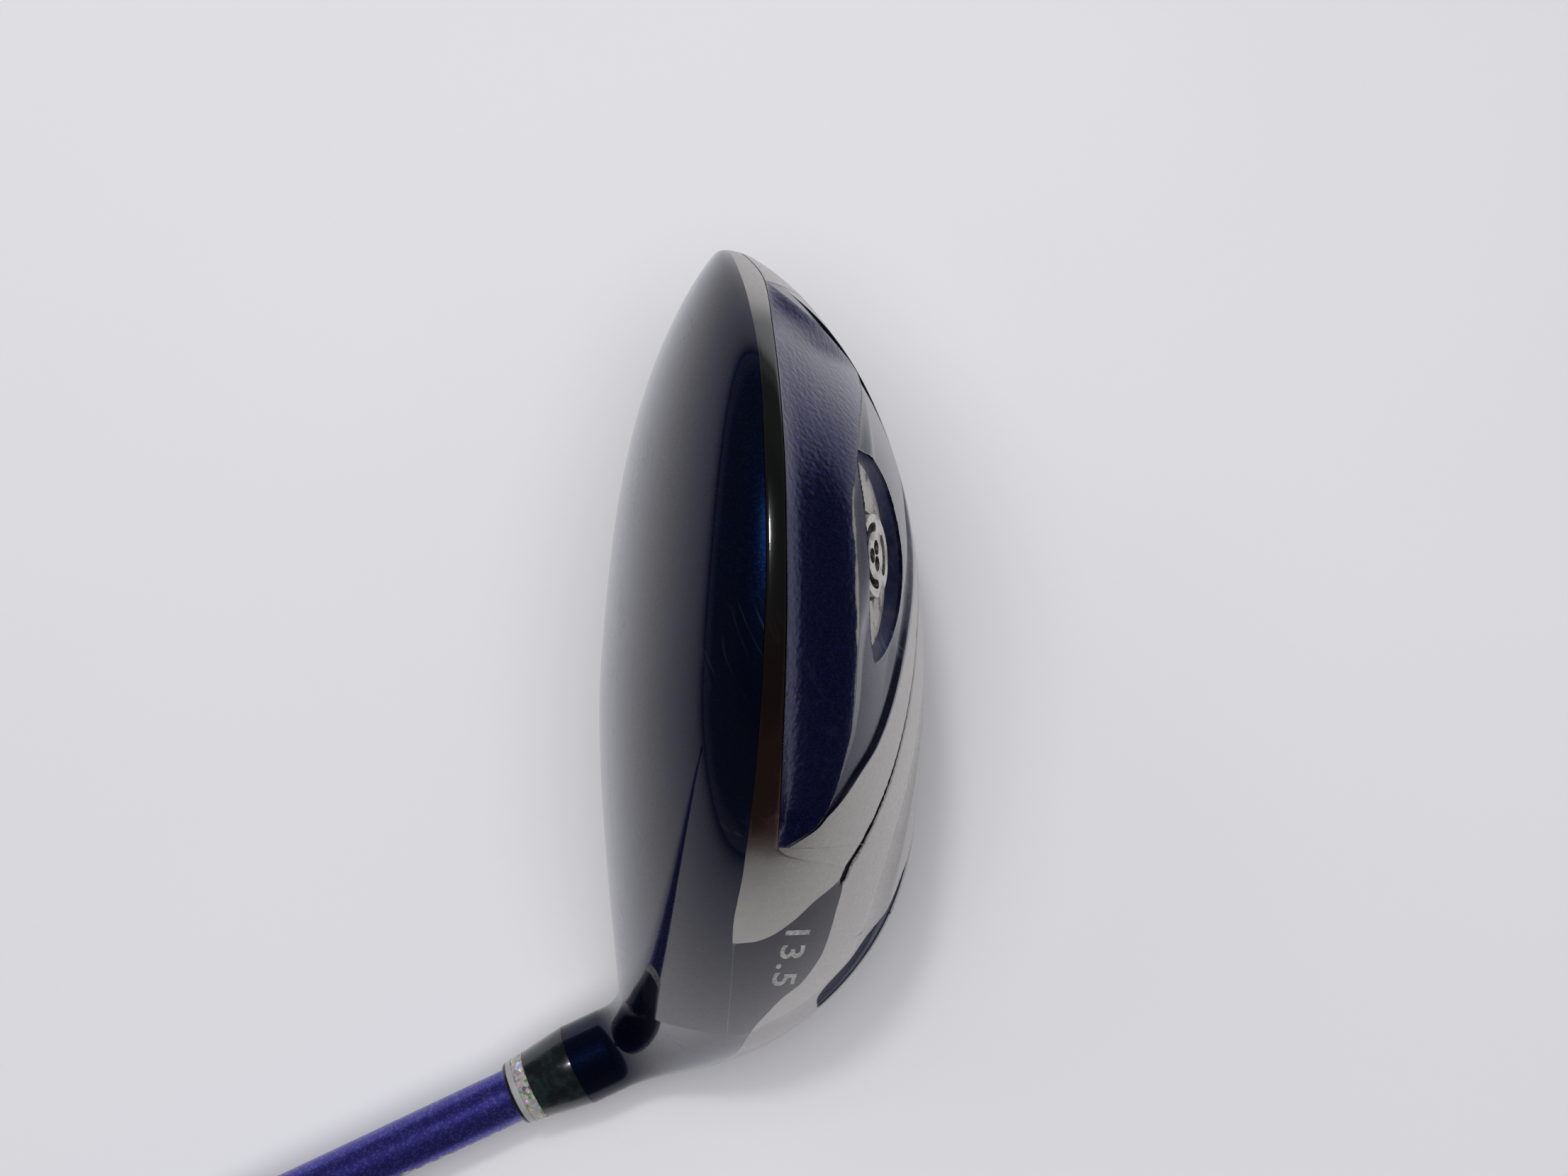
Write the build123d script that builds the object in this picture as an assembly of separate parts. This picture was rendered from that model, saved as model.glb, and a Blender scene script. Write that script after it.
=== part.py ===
from build123d import *
import math

# A golf driver lying face down: the shaft runs along X, the butt end is at the
# origin, the head is at the +X end and the rear of the head points up (+Z).
# All sizes are in millimetres and degrees.

# ---- Driving dimensions ----
club_length = 1118.0        # butt end to the ground point under the shaft axis
lie_angle = 60.0            # between the shaft axis and the ground line
loft_angle = 13.5           # face leaning back
wall = 1.0                  # head shell
face_wall = 2.8
face_radius = 300.0         # bulge and roll of the face

# Head form, in the head's own axes: x to the toe, y to the target, z up from the ground
toe_tip = (97.4, -30.0, 35.9)
crown_height = 49.2
sole_height = 1.1
skirt_height = 24.6         # height of the widest line at the rear
rear_reach = -94.0          # deepest point behind the shaft axis
front_reach = 32.0          # where the uncut form would reach in front
face_point = (42.0, 10.1, 26.0)
fillet_centre = (-14.2, 50.7)   # centre of the concave curve between crown and hosel
fan_angle = 60.0            # the heel sections turn this far about that centre
heel_seam = -10.0           # the hosel casting begins here
cup_seam = -2.0             # the face cup ends this far behind the shaft axis
band_front = -32.0          # the trim band stays behind this depth

# Hosel and ferrule
hosel_radius = 6.6
hosel_bore_radius = 4.42
hosel_top = 56.93           # distance from the ground point up the shaft axis
hosel_straight = 5.9
hosel_depth = 36.0
tube_wall = 1.2
tube_floor = 2.0
ferrule_parts = (
    ("ferrule_body", 7.5),
    ("ferrule_glitter_ring", 2.0),
    ("ferrule_light_ring", 1.1),
    ("ferrule_end_ring", 0.5),
)
ferrule_end_radius = 5.1
fit_gap = 0.02              # radial gap between bonded parts
tip_gap = 0.5               # between the shaft tip and the bottom of its bore

# Shaft and grip
shaft_tip_radius = 4.3
shaft_butt_radius = 7.6
shaft_parallel = 110.0      # untapered length at the tip
shaft_tip_bore = 2.6
plug_length = 6.0
shaft_butt_bore = 6.8
cap_radius = 14.0
cap_thickness = 4.0
vent_radius = 1.6
grip_end = 268.0
grip_butt_radius = 13.2
grip_mouth_radius = 8.9
tape_thickness = 0.3
tape_margin = 6.0           # the tape stops this far inside the grip's mouth
grip_band = 30.0            # nearly parallel length at the butt
ring_grooves = (14, 18, 246, 250, 254, 258)
ring_groove_width = 1.0
ring_groove_depth = 0.6
cap_bevel = 0.9

# Weight screw and its port in the rear of the sole
port_t = 55.0
port_f = -78.0
port_tilt = 19.5            # the axis rises this much towards the rear
port_lean = 8.0             # and leans this much towards the toe
pocket_half_length = 13.2
pocket_corner = 1.5
pocket_rear = 5.5
pocket_front = -9.8
pocket_floor = -1.5
boss_margin = 2.0
boss_bottom = -13.0
boss_top = 12.0             # clears the skin above the port's plane
seat_depth = -3.6
seat_radius = 5.45
washer_thickness = 0.6
washer_radius = 4.9
washer_clearance = 0.1
screw_head_radius = 5.15
screw_head_thickness = 2.4
screw_radius = 2.95
screw_length = 7.2
screw_bore_radius = 3.0
thread_pitch = 1.0
thread_depth = 0.4
socket_depth = 1.7          # three-lobed wrench socket
lobe_radius = 0.95
lobe_offset = 1.15
recess_depth = 1.1          # three curved recesses round the socket
recess_radius = 3.55
recess_width = 1.15
recess_half_angle = 34.0

# Ribs and glue inside the sole
skin_gap = 0.03
rib_height = 3.0
rib_thickness = 0.8
rib_places = (24, 38, 74)
rib_rear = -62.0
rib_front = -14.0
rib_low = -5.0
rib_high = 14.0
glue_along = (2, 20)        # towards the toe
glue_across = (-40, -18)    # depth

# Where each outline curve of the head has its summit, towards the toe
crown_summit = 38.0
sole_summit = 19.0
skirt_bend_toe = 35.0
skirt_bend_heel = 25.0
rear_summit = 48.0
front_summit = 40.0
highest_depth = -14.0
lowest_depth = -28.0
neck_gap = 6.5              # from the fillet centre to the hosel's near side


# ---- The head's outline curves, each a function of the toe-ward place t ----
def toward_toe(t, summit):
    # 0 at the summit and 1 at the toe tip
    return max(0.0, t - summit) / (toe_tip[0] - summit)


def toward_heel(t, summit):
    # 0 at the summit and 1 where the heel begins to turn
    return max(0.0, summit - t) / (summit - fillet_centre[0])


def crown_line(t):
    if t > crown_summit:
        x = toward_toe(t, crown_summit)
        return toe_tip[2] + (crown_height - toe_tip[2]) * (1 - x**2.85) ** 0.9
    x = toward_heel(t, crown_summit)
    return crown_height - 2.56 * (math.sqrt(1 + (x / 0.324) ** 2) - 1)


def sole_line(t):
    if t > sole_summit:
        x = toward_toe(t, sole_summit)
        return toe_tip[2] - (toe_tip[2] - sole_height) * (1 - x**2.52) ** 0.637
    return sole_height + 12.7 * toward_heel(t, sole_summit) ** 2.39


def skirt_line(t):
    rise = (toe_tip[2] - skirt_height) * toward_toe(t, skirt_bend_toe) ** 2.9
    return skirt_height + rise + 1.8 * toward_heel(t, skirt_bend_heel) ** 1.6


def rear_line(t):
    if t > rear_summit:
        x = toward_toe(t, rear_summit)
        return toe_tip[1] + (rear_reach - toe_tip[1]) * math.sqrt(1 - x**2.3)
    return rear_reach + 58 * toward_heel(t, rear_summit) ** 2.1


def front_line(t):
    if t > front_summit:
        x = toward_toe(t, front_summit)
        return toe_tip[1] + (front_reach - toe_tip[1]) * math.sqrt(1 - x**2.4)
    return front_reach - 27 * toward_heel(t, front_summit) ** 2.4


def crown_centre(t):
    # depth of the highest point of a section
    shift = (toe_tip[1] - highest_depth) * toward_toe(t, front_summit) ** 2
    return highest_depth + shift + 8 * toward_heel(t, front_summit) ** 1.5


def sole_centre(t):
    # depth of the lowest point of a section
    shift = (toe_tip[1] - lowest_depth) * toward_toe(t, front_summit) ** 2
    return lowest_depth + shift + 14 * toward_heel(t, front_summit) ** 1.3


# ---- Sections: four quarter ellipses between rear, top, front and bottom ----
def toe_section(t, inset):
    return {
        "rear": rear_line(t) + inset,
        "front": front_line(t) - inset,
        "top": crown_line(t) - inset,
        "bottom": sole_line(t) + inset,
        "middle": skirt_line(t),
        "top_centre": crown_centre(t),
        "bottom_centre": sole_centre(t),
    }


def heel_section(share, inset):
    # Heights here are distances below the fillet centre, along a line that
    # turns from straight down (share 0) to square to the shaft (share 1).
    start = toe_section(fillet_centre[0], 0)
    low = fillet_centre[1]
    top = low - start["top"]
    bottom = low - start["bottom"]
    middle = low - start["middle"]
    near = neck_gap
    far = neck_gap + 2 * hosel_radius
    rest = 1 - share
    depth = 1 - rest**1.75
    return {
        "rear": start["rear"] + (-hosel_radius - start["rear"]) * depth + inset,
        "front": start["front"] + (hosel_radius - start["front"]) * depth - inset,
        "top": -(top + (near - top) * share) - inset,
        "bottom": -(bottom + (far - bottom) * (1 - rest**2.1)) + inset,
        "middle": -(middle + (near + hosel_radius - middle) * (1 - rest**1.6)),
        "top_centre": start["top_centre"] * rest**1.5,
        "bottom_centre": start["bottom_centre"] * rest**1.5,
    }


toe_sections = 22
heel_sections = 10
toe_reach = 0.985           # the last section, as a share of the way to the toe tip
toe_reach_inset = 0.012     # less of it for each millimetre of inset


def section_wire(values, origin, height_dir):
    # x is depth towards the target and y is the height direction
    depth_dir = Vector(0, 1, 0)
    base = Plane(origin=origin, x_dir=depth_dir, z_dir=depth_dir.cross(Vector(*height_dir)))
    quarters = (
        ("front", "top", 0),
        ("rear", "top", 90),
        ("rear", "bottom", 180),
        ("front", "bottom", 270),
    )
    edges = []
    for reach, limit, start in quarters:
        centre = values[limit + "_centre"]
        place = Plane(
            origin=base.from_local_coords(Vector(centre, values["middle"], 0)),
            x_dir=base.x_dir,
            z_dir=base.z_dir,
        )
        depth_radius = abs(values[reach] - centre)
        height_radius = abs(values[limit] - values["middle"])
        edges.append(
            Edge.make_ellipse(depth_radius, height_radius, place, start, start + 90)
        )
    return Wire(edges)


def head_form(inset, last_share):
    wires = []
    reach = toe_reach - toe_reach_inset * inset
    for step in range(toe_sections):
        # closely spaced at both ends, where the outline turns fastest
        share = reach * (1 + math.cos(math.pi * step / (toe_sections - 1))) / 2
        t = fillet_centre[0] + (toe_tip[0] - fillet_centre[0]) * share
        wires.append(section_wire(toe_section(t, inset), (t, 0, 0), (0, 0, 1)))
    for step in range(1, heel_sections + 1):
        share = last_share * step / heel_sections
        angle = math.radians(fan_angle * share)
        direction = (math.sin(angle), 0, math.cos(angle))
        origin = (fillet_centre[0], 0, fillet_centre[1])
        wires.append(section_wire(heel_section(share, inset), origin, direction))
    return Solid.make_loft(wires)


# ---- Placing the head and its port in the part's frame ----
lie = math.radians(lie_angle)
toe_dir = Vector(math.cos(lie), math.sin(lie), 0)
up_dir = Vector(-math.sin(lie), math.cos(lie), 0)
head_place = Plane(origin=(club_length, 0, 0), x_dir=toe_dir, z_dir=up_dir).location


def sole_height_at(t, f):
    # height of the rear quarter of the sole at one point of the plan
    values = toe_section(t, 0)
    reach = values["rear"] - values["bottom_centre"]
    share = (f - values["bottom_centre"]) / reach
    drop = values["middle"] - values["bottom"]
    return values["middle"] - drop * math.sqrt(1 - share**2)


tilt = math.radians(port_tilt)
lean = math.radians(port_lean)
port_plane = Plane(
    origin=(port_t, port_f, sole_height_at(port_t, port_f)),
    x_dir=(math.cos(lean), 0, math.sin(lean)),
    z_dir=(
        math.sin(lean) * math.cos(tilt),
        -math.sin(tilt),
        -math.cos(lean) * math.cos(tilt),
    ),
)


def put(shape):
    # head axes to the part's frame
    return head_place * shape


def save(shape, node):
    shape.label = node
    export_step(shape, "parts/" + node + ".step")
    print(node, "volume", round(shape.volume, 1), "solids", len(shape.solids()))


# limits that clear the whole head, in head axes
toe_clear = 110.0
rear_clear = -110.0
front_clear = 60.0
low_clear = -20.0
high_clear = 70.0
heel_clear = -60.0
face_region = -25.0         # the face's sphere cuts only in front of this
neck_limit = -17.0          # and not on the neck side of this


def region_block(t_low, t_high, f_low, f_high, u_low, u_high):
    box = Box(t_high - t_low, f_high - f_low, u_high - u_low)
    return Pos((t_low + t_high) / 2, (f_low + f_high) / 2, (u_low + u_high) / 2) * box


def side_prism(outline):
    # outline of (t, u) points, extruded along the depth of the head
    face = make_face(Polyline(*[(t, rear_clear, u) for t, u in outline], close=True))
    return extrude(face, front_clear - rear_clear, dir=(0, 1, 0))


def curved_side_prism(curve, corners):
    # a smooth (t, u) curve closed by straight lines, extruded along the depth
    points = [(t, rear_clear, u) for t, u in curve]
    others = [(t, rear_clear, u) for t, u in corners]
    rest = Polyline(points[-1], *others, points[0])
    face = make_face(Wire([*Spline(*points).edges(), *rest.edges()]))
    return extrude(face, front_clear - rear_clear, dir=(0, 1, 0))


def plan_prism(curve, corners):
    # outline of (t, f) points, extruded upwards
    points = [(t, f, low_clear) for t, f in curve]
    others = [(t, f, low_clear) for t, f in corners]
    rest = Polyline(points[-1], *others, points[0])
    face = make_face(Wire([*Spline(*points).edges(), *rest.edges()]))
    return extrude(face, high_clear - low_clear, dir=(0, 0, 1))


def pocket_prism(margin, low, high):
    # lens between two arcs, in the port's own plane
    half = pocket_half_length + margin
    rear = pocket_rear + margin
    front = pocket_front - margin
    arc_rear = ThreePointArc((-half, pocket_corner), (0, rear), (half, pocket_corner))
    arc_front = ThreePointArc((half, pocket_corner), (0, front), (-half, pocket_corner))
    lens = extrude(make_face(Wire([*arc_rear.edges(), *arc_front.edges()])), high - low)
    return port_plane.location * (Location((0, 0, low)) * lens)


def port_cylinder(radius, low, high):
    rod = Cylinder(radius, high - low, align=(Align.CENTER, Align.CENTER, Align.MIN))
    return port_plane.location * (Location((0, 0, low)) * rod)


def shaft_rod(radius, x_low, x_high):
    rod = Cylinder(radius, x_high - x_low, align=(Align.CENTER, Align.CENTER, Align.MIN))
    return Plane(origin=(x_low, 0, 0), x_dir=(0, 1, 0), z_dir=(1, 0, 0)).location * rod


def turned(profile):
    # profile of (x, radius) points turned about the shaft axis
    outline = make_face(Polyline(*[(x, radius, 0) for x, radius in profile], close=True))
    return revolve(outline, Axis.X)


# ---- Head shells ----
outer = head_form(0, 1.0)
inner = head_form(wall, 0.7)
tilt_back = math.radians(loft_angle)
face_normal = Vector(0, math.cos(tilt_back), math.sin(tilt_back))
face_centre = Vector(*face_point) - face_normal * face_radius


def face_block(radius):
    # everything in front of a sphere of the face's bulge
    block = region_block(heel_clear, toe_clear, face_region, front_clear, low_clear, high_clear)
    return block - Location(face_centre) * Sphere(radius)


neck_guard = region_block(
    heel_clear, neck_limit, face_region, front_clear, low_clear, high_clear
)
outside = outer - (face_block(face_radius) - neck_guard)
inside = inner - face_block(face_radius - face_wall)
shell = outside - inside

crown_edge = (
    (106, 37.5), (93.7, 33.5), (83, 29.7), (70, 27.2), (50, 25.2),
    (31.6, 24.6), (4.2, 26.1), (-12, 30),
)
band_edge = (
    (100, 31.5), (88, 28.4), (75.1, 25.7), (56.7, 23.3), (37.7, 21.9), (18.4, 20.8),
)
panel_heel = ((24.8, 13.8), (31.3, 10.0), (37.0, 0.0), (37.0, -8), (100, -8))
panel_edge = (
    (16, -85), (28.2, -79), (41.1, -69.8), (50, -60), (58, -51), (68, -46),
    (78, -48), (86, -56), (95, -66),
)
band_heel = ((18.4, 60), (18.4, 20.8), (14.3, 12.7), (7.1, 18.9), (4.2, 24.0), (4.2, 60))

behind_cup = region_block(
    heel_seam, toe_clear, rear_clear, cup_seam, low_clear, high_clear
)
above_edge = curved_side_prism(crown_edge, ((-12, 80), (106, 80)))
below_band = curved_side_prism(band_edge, panel_heel)
behind_panel = plan_prism(panel_edge, ((95, -110), (16, -110)))
above_band = curved_side_prism(band_edge, ((18.4, 60), (100, 60)))
heel_hook = side_prism(band_heel)
rear_side = region_block(
    heel_seam, toe_clear, rear_clear, band_front, low_clear, high_clear
)
cup_region = region_block(
    heel_seam, toe_clear, cup_seam, front_clear, low_clear, high_clear
)
heel_region = region_block(
    heel_clear, heel_seam, heel_clear, front_clear, low_clear, high_clear
)

face_cup = shell & cup_region
rear_shell = shell & behind_cup
crown_shell = rear_shell & above_edge
lower_shell = rear_shell - above_edge
skirt_band = lower_shell & (above_band + heel_hook) & rear_side
port_hole = pocket_prism(boss_margin, boss_bottom - 3, boss_top)
panel_region = below_band & behind_panel
rear_panel = (lower_shell - skirt_band) & panel_region
sole_shell = lower_shell - skirt_band - rear_panel - port_hole
rear_panel = rear_panel - port_hole
save(put(crown_shell), "crown_shell")
save(put(skirt_band), "skirt_band")
save(put(rear_panel), "rear_panel")
save(put(sole_shell), "sole_shell")

# ---- Hosel casting: heel shell, neck and the tube that holds the shaft tip ----
hosel_start = club_length - hosel_top
neck_end = hosel_start + hosel_straight
heel_shell = shell & heel_region
neck = shaft_rod(hosel_radius, hosel_start, neck_end + 0.5)
tube_radius = hosel_bore_radius + tube_wall
tube = shaft_rod(tube_radius, hosel_start, hosel_start + hosel_depth + tube_floor)
hosel_bore = shaft_rod(hosel_bore_radius, hosel_start - 1, hosel_start + hosel_depth)
hosel = put(heel_shell) + neck + tube - hosel_bore
save(hosel, "hosel")
save(put(face_cup) - tube, "face_cup")

# ---- Weight port, screw and washer ----
port_shell = outer & pocket_prism(boss_margin, boss_bottom, boss_top)
port_shell -= pocket_prism(0, pocket_floor, boss_top + 2)
port_shell -= port_cylinder(seat_radius, seat_depth, 0)
port_shell -= port_cylinder(screw_bore_radius, boss_bottom - 1, 0)
save(put(port_shell), "weight_port")

washer = port_cylinder(washer_radius, seat_depth, seat_depth + washer_thickness)
washer -= port_cylinder(screw_radius + washer_clearance, seat_depth - 1, 0)
save(put(washer), "weight_washer")

head_base = seat_depth + washer_thickness
head_top = head_base + screw_head_thickness
screw = port_cylinder(screw_head_radius, head_base, head_top)
screw += port_cylinder(screw_radius, head_base - screw_length, head_base)
thread_count = int(screw_length / thread_pitch) - 1
for turn in range(thread_count):
    low = head_base - screw_length + thread_pitch * (turn + 0.6)
    groove = port_cylinder(screw_radius + 1, low, low + 0.35 * thread_pitch)
    groove -= port_cylinder(screw_radius - thread_depth, low - 1, low + 2)
    screw -= groove
tool_height = 4.0           # the cutting shapes reach out of the head
for third in range(3):
    angle = 120 * third + 90
    lobe = Rot(0, 0, angle) * Pos(lobe_offset, 0, 0) * Cylinder(lobe_radius, tool_height)
    socket_centre = Pos(0, 0, head_top + tool_height / 2 - socket_depth)
    screw -= port_plane.location * (socket_centre * lobe)
    sweep = CenterArc((0, 0), recess_radius, -recess_half_angle, 2 * recess_half_angle)
    recess = Rot(0, 0, angle + 60) * SlotArc(sweep, height=recess_width)
    cut = extrude(recess, tool_height)
    screw -= port_plane.location * (Pos(0, 0, head_top - recess_depth) * cut)
save(put(screw), "weight_screw")

# ---- Ferrule: four bonded rings between hosel and shaft ----
ferrule_length = sum(length for name, length in ferrule_parts)
ferrule_bore = shaft_tip_radius + fit_gap
ring_end = hosel_start
for name, length in ferrule_parts:
    radii = []
    for place in (ring_end, ring_end - length):
        share = (hosel_start - place) / ferrule_length
        radii.append(hosel_radius + (ferrule_end_radius - hosel_radius) * share)
    ring = turned((
        (ring_end, ferrule_bore), (ring_end, radii[0]),
        (ring_end - length, radii[1]), (ring_end - length, ferrule_bore),
    ))
    save(ring, name)
    ring_end -= length

# ---- Shaft ----
tip_end = hosel_start + hosel_depth - tip_gap
taper_end = tip_end - shaft_parallel
shaft = turned((
    (cap_thickness, shaft_butt_bore), (cap_thickness, shaft_butt_radius),
    (taper_end, shaft_tip_radius), (tip_end, shaft_tip_radius),
    (tip_end, shaft_tip_bore), (taper_end, shaft_tip_bore),
))
save(shaft, "shaft")


def shaft_radius_at(x):
    share = (x - cap_thickness) / (taper_end - cap_thickness)
    return shaft_butt_radius + (shaft_tip_radius - shaft_butt_radius) * share


glue_start = hosel_start + 1
epoxy = shaft_rod(hosel_bore_radius - fit_gap, glue_start, tip_end)
epoxy -= shaft_rod(shaft_tip_radius + fit_gap, glue_start - 1, tip_end + 1)
save(epoxy, "hosel_epoxy")
plug_end = tip_end - 1
save(shaft_rod(shaft_tip_bore - fit_gap, plug_end - plug_length, plug_end), "tip_plug")

# ---- Grip, tape and end cap ----
tape_end = grip_end - tape_margin
tape_profile = []
for gap, places in ((fit_gap, (cap_thickness, tape_end)),
                    (tape_thickness, (tape_end, cap_thickness))):
    for x in places:
        tape_profile.append((x, shaft_radius_at(x) + gap))
save(turned(tape_profile), "grip_tape")

grip_gap = tape_thickness + fit_gap
grip = turned((
    (cap_thickness, shaft_radius_at(cap_thickness) + grip_gap),
    (cap_thickness, grip_butt_radius),
    (cap_thickness + grip_band, grip_butt_radius - 0.3),
    (grip_end - 3, grip_mouth_radius + 0.2),
    (grip_end, grip_mouth_radius - 0.5),
    (grip_end, shaft_radius_at(grip_end) + grip_gap),
))
for x in ring_grooves:
    share = (x - cap_thickness) / (grip_end - cap_thickness)
    radius = grip_butt_radius + (grip_mouth_radius - grip_butt_radius) * share
    core = shaft_rod(radius - ring_groove_depth, x - 1, x + ring_groove_width + 1)
    grip -= shaft_rod(cap_radius, x, x + ring_groove_width) - core
save(grip, "grip")

cap = turned((
    (0, vent_radius), (0, cap_radius - 2.5), (0.5, cap_radius - cap_bevel),
    (1.6, cap_radius), (cap_thickness - 1, cap_radius),
    (cap_thickness, grip_butt_radius), (cap_thickness, vent_radius),
))
save(cap, "grip_cap")

# ---- Inside the head: ribs on the sole and a pad of sound-deadening glue ----
inner_skin = head_form(wall + skin_gap, 0.3)
rib_hollow = head_form(wall + rib_height, 0.2)
rib_band = inner_skin - rib_hollow
ribs = []
for t in rib_places:
    slab = region_block(t, t + rib_thickness, rib_rear, rib_front, rib_low, rib_high)
    ribs.extend((rib_band & slab).solids())
save(put(Compound(children=ribs)), "sole_ribs")
glue = rib_band & region_block(*glue_along, *glue_across, rib_low, rib_high)
save(put(glue), "hot_melt_pad")
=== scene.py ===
import math
import bmesh
import bpy
import numpy as np
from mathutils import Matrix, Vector


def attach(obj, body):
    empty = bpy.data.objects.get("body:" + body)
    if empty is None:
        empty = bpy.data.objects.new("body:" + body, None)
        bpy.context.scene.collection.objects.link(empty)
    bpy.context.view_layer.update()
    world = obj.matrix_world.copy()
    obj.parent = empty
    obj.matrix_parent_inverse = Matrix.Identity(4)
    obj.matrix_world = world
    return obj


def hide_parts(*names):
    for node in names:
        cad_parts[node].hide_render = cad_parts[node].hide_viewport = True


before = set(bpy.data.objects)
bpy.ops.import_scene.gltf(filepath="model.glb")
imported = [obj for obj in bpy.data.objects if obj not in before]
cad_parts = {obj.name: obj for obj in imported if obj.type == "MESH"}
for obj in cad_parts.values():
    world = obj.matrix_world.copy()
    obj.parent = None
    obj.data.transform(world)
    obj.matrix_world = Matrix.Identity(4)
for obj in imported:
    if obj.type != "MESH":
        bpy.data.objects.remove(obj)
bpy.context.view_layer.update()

MM = 0.001

# ---- Shared sizes, in millimetres; head axes are t (toe), f (target) and u (up) ----
CLUB_LENGTH = 1118.0
LIE = math.radians(60.0)
HOSEL_TOP = 56.93
HOSEL_STRAIGHT = 5.9
HOSEL_RADIUS = 6.6
TOE_TIP = (97.4, -30.0, 35.9)
TOE_LIMIT = 0.9755
CROWN_HEIGHT = 49.2
SOLE_HEIGHT = 1.1
SKIRT_HEIGHT = 24.6
REAR_REACH = -94.0
FRONT_REACH = 32.0
FILLET = (-14.2, 50.7)
FAN_ANGLE = math.radians(60.0)
FACE_POINT = (42.0, 10.1, 26.0)
FACE_RADIUS = 300.0
LOFT = math.radians(13.5)
FLOOR_Z = -14.0

TOE_DIR = np.array([math.cos(LIE), math.sin(LIE), 0.0])
TARGET_DIR = np.array([0.0, 0.0, -1.0])
UP_DIR = np.array([-math.sin(LIE), math.cos(LIE), 0.0])
GROUND = np.array([CLUB_LENGTH, 0.0, 0.0])


def to_row(points):
    """Head axes in millimetres to the part's frame in metres."""
    p = np.asarray(points, dtype=float)
    rows = p[..., 0:1] * TOE_DIR + p[..., 1:2] * TARGET_DIR + p[..., 2:3] * UP_DIR
    return (rows + GROUND) * MM


# ---- The head's form: the same curves as the solid model, for arrays of t ----
def span(value):
    return np.clip(value, 0.0, 1.0)


def smooth_step(x):
    x = span(x)
    return x * x * (3 - 2 * x)


def toe_section(t):
    tip_t, tip_f, tip_u = TOE_TIP
    crown_x = span((t - 38) / (tip_t - 38))
    heel_x = np.maximum(0, (38 - t) / 52.2)
    top_toe = tip_u + (CROWN_HEIGHT - tip_u) * (1 - crown_x**2.85) ** 0.9
    top_heel = CROWN_HEIGHT - 2.56 * (np.sqrt(1 + (heel_x / 0.324) ** 2) - 1)
    sole_x = span((t - 19) / (tip_t - 19))
    low_toe = tip_u - (tip_u - SOLE_HEIGHT) * (1 - sole_x**2.52) ** 0.637
    low_heel = SOLE_HEIGHT + 12.7 * np.maximum(0, (19 - t) / 33.2) ** 2.39
    skirt_x = span((t - 35) / (tip_t - 35))
    middle_toe = SKIRT_HEIGHT + (tip_u - SKIRT_HEIGHT) * skirt_x**2.9
    middle_heel = SKIRT_HEIGHT + 1.8 * np.maximum(0, (25 - t) / 39.2) ** 1.6
    rear_x = span((t - 48) / (tip_t - 48))
    rear_toe = tip_f + (REAR_REACH - tip_f) * np.sqrt(1 - rear_x**2.3)
    rear_heel = REAR_REACH + 58 * np.maximum(0, (48 - t) / 62.2) ** 2.1
    front_x = span((t - 40) / (tip_t - 40))
    front_toe = tip_f + (FRONT_REACH - tip_f) * np.sqrt(1 - front_x**2.4)
    front_heel = FRONT_REACH - 27 * np.maximum(0, (40 - t) / 54.2) ** 2.4
    heelward = np.maximum(0, (40 - t) / 54.2)
    return {
        "top": np.where(t > 38, top_toe, top_heel),
        "bottom": np.where(t > 19, low_toe, low_heel),
        "middle": np.where(t > 35, middle_toe, middle_heel),
        "rear": np.where(t > 48, rear_toe, rear_heel),
        "front": np.where(t > 40, front_toe, front_heel),
        "top_centre": np.where(t > 40, -14 + (tip_f + 14) * front_x**2, -14 + 8 * heelward**1.5),
        "bottom_centre": np.where(t > 40, -28 + (tip_f + 28) * front_x**2, -28 + 14 * heelward**1.3),
    }


def heel_section(share):
    start = {name: float(v) for name, v in toe_section(np.float64(FILLET[0])).items()}
    low = FILLET[1]
    inner = 6.5
    outer = inner + 2 * HOSEL_RADIUS
    depth = 1 - (1 - share) ** 1.75
    top = low - start["top"]
    bottom = low - start["bottom"]
    middle = low - start["middle"]
    rest = 1 - share
    return {
        "rear": start["rear"] + (-HOSEL_RADIUS - start["rear"]) * depth,
        "front": start["front"] + (HOSEL_RADIUS - start["front"]) * depth,
        "top": -(top + (inner - top) * share),
        "bottom": -(bottom + (outer - bottom) * (1 - rest**2.1)),
        "middle": -(middle + (inner + HOSEL_RADIUS - middle) * (1 - rest**1.6)),
        "top_centre": start["top_centre"] * rest**1.5,
        "bottom_centre": start["bottom_centre"] * rest**1.5,
    }


def around(section, w):
    """Depth, height and outward normal of a section at angle w from its rear point."""
    c = np.cos(w)
    s = np.sin(w)
    reach = np.where(c >= 0, section["rear"], section["front"])
    limit = np.where(s >= 0, section["top"], section["bottom"])
    centre = np.where(s >= 0, section["top_centre"], section["bottom_centre"])
    depth = centre + (reach - centre) * np.abs(c)
    height = section["middle"] + (limit - section["middle"]) * np.abs(s)
    normal_f = np.sign(reach - centre) * np.abs(c) * np.abs(limit - section["middle"])
    normal_u = np.sign(s) * np.abs(s) * np.abs(reach - centre)
    size = np.hypot(normal_f, normal_u) + 1e-9
    return depth, height, normal_f / size, normal_u / size


FACE_NORMAL = np.array([0.0, math.cos(LOFT), math.sin(LOFT)])
FACE_CENTRE = np.array(FACE_POINT) - FACE_NORMAL * FACE_RADIUS
FACE_EDGE = 0.8             # softness of the edge between face and body


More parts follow.
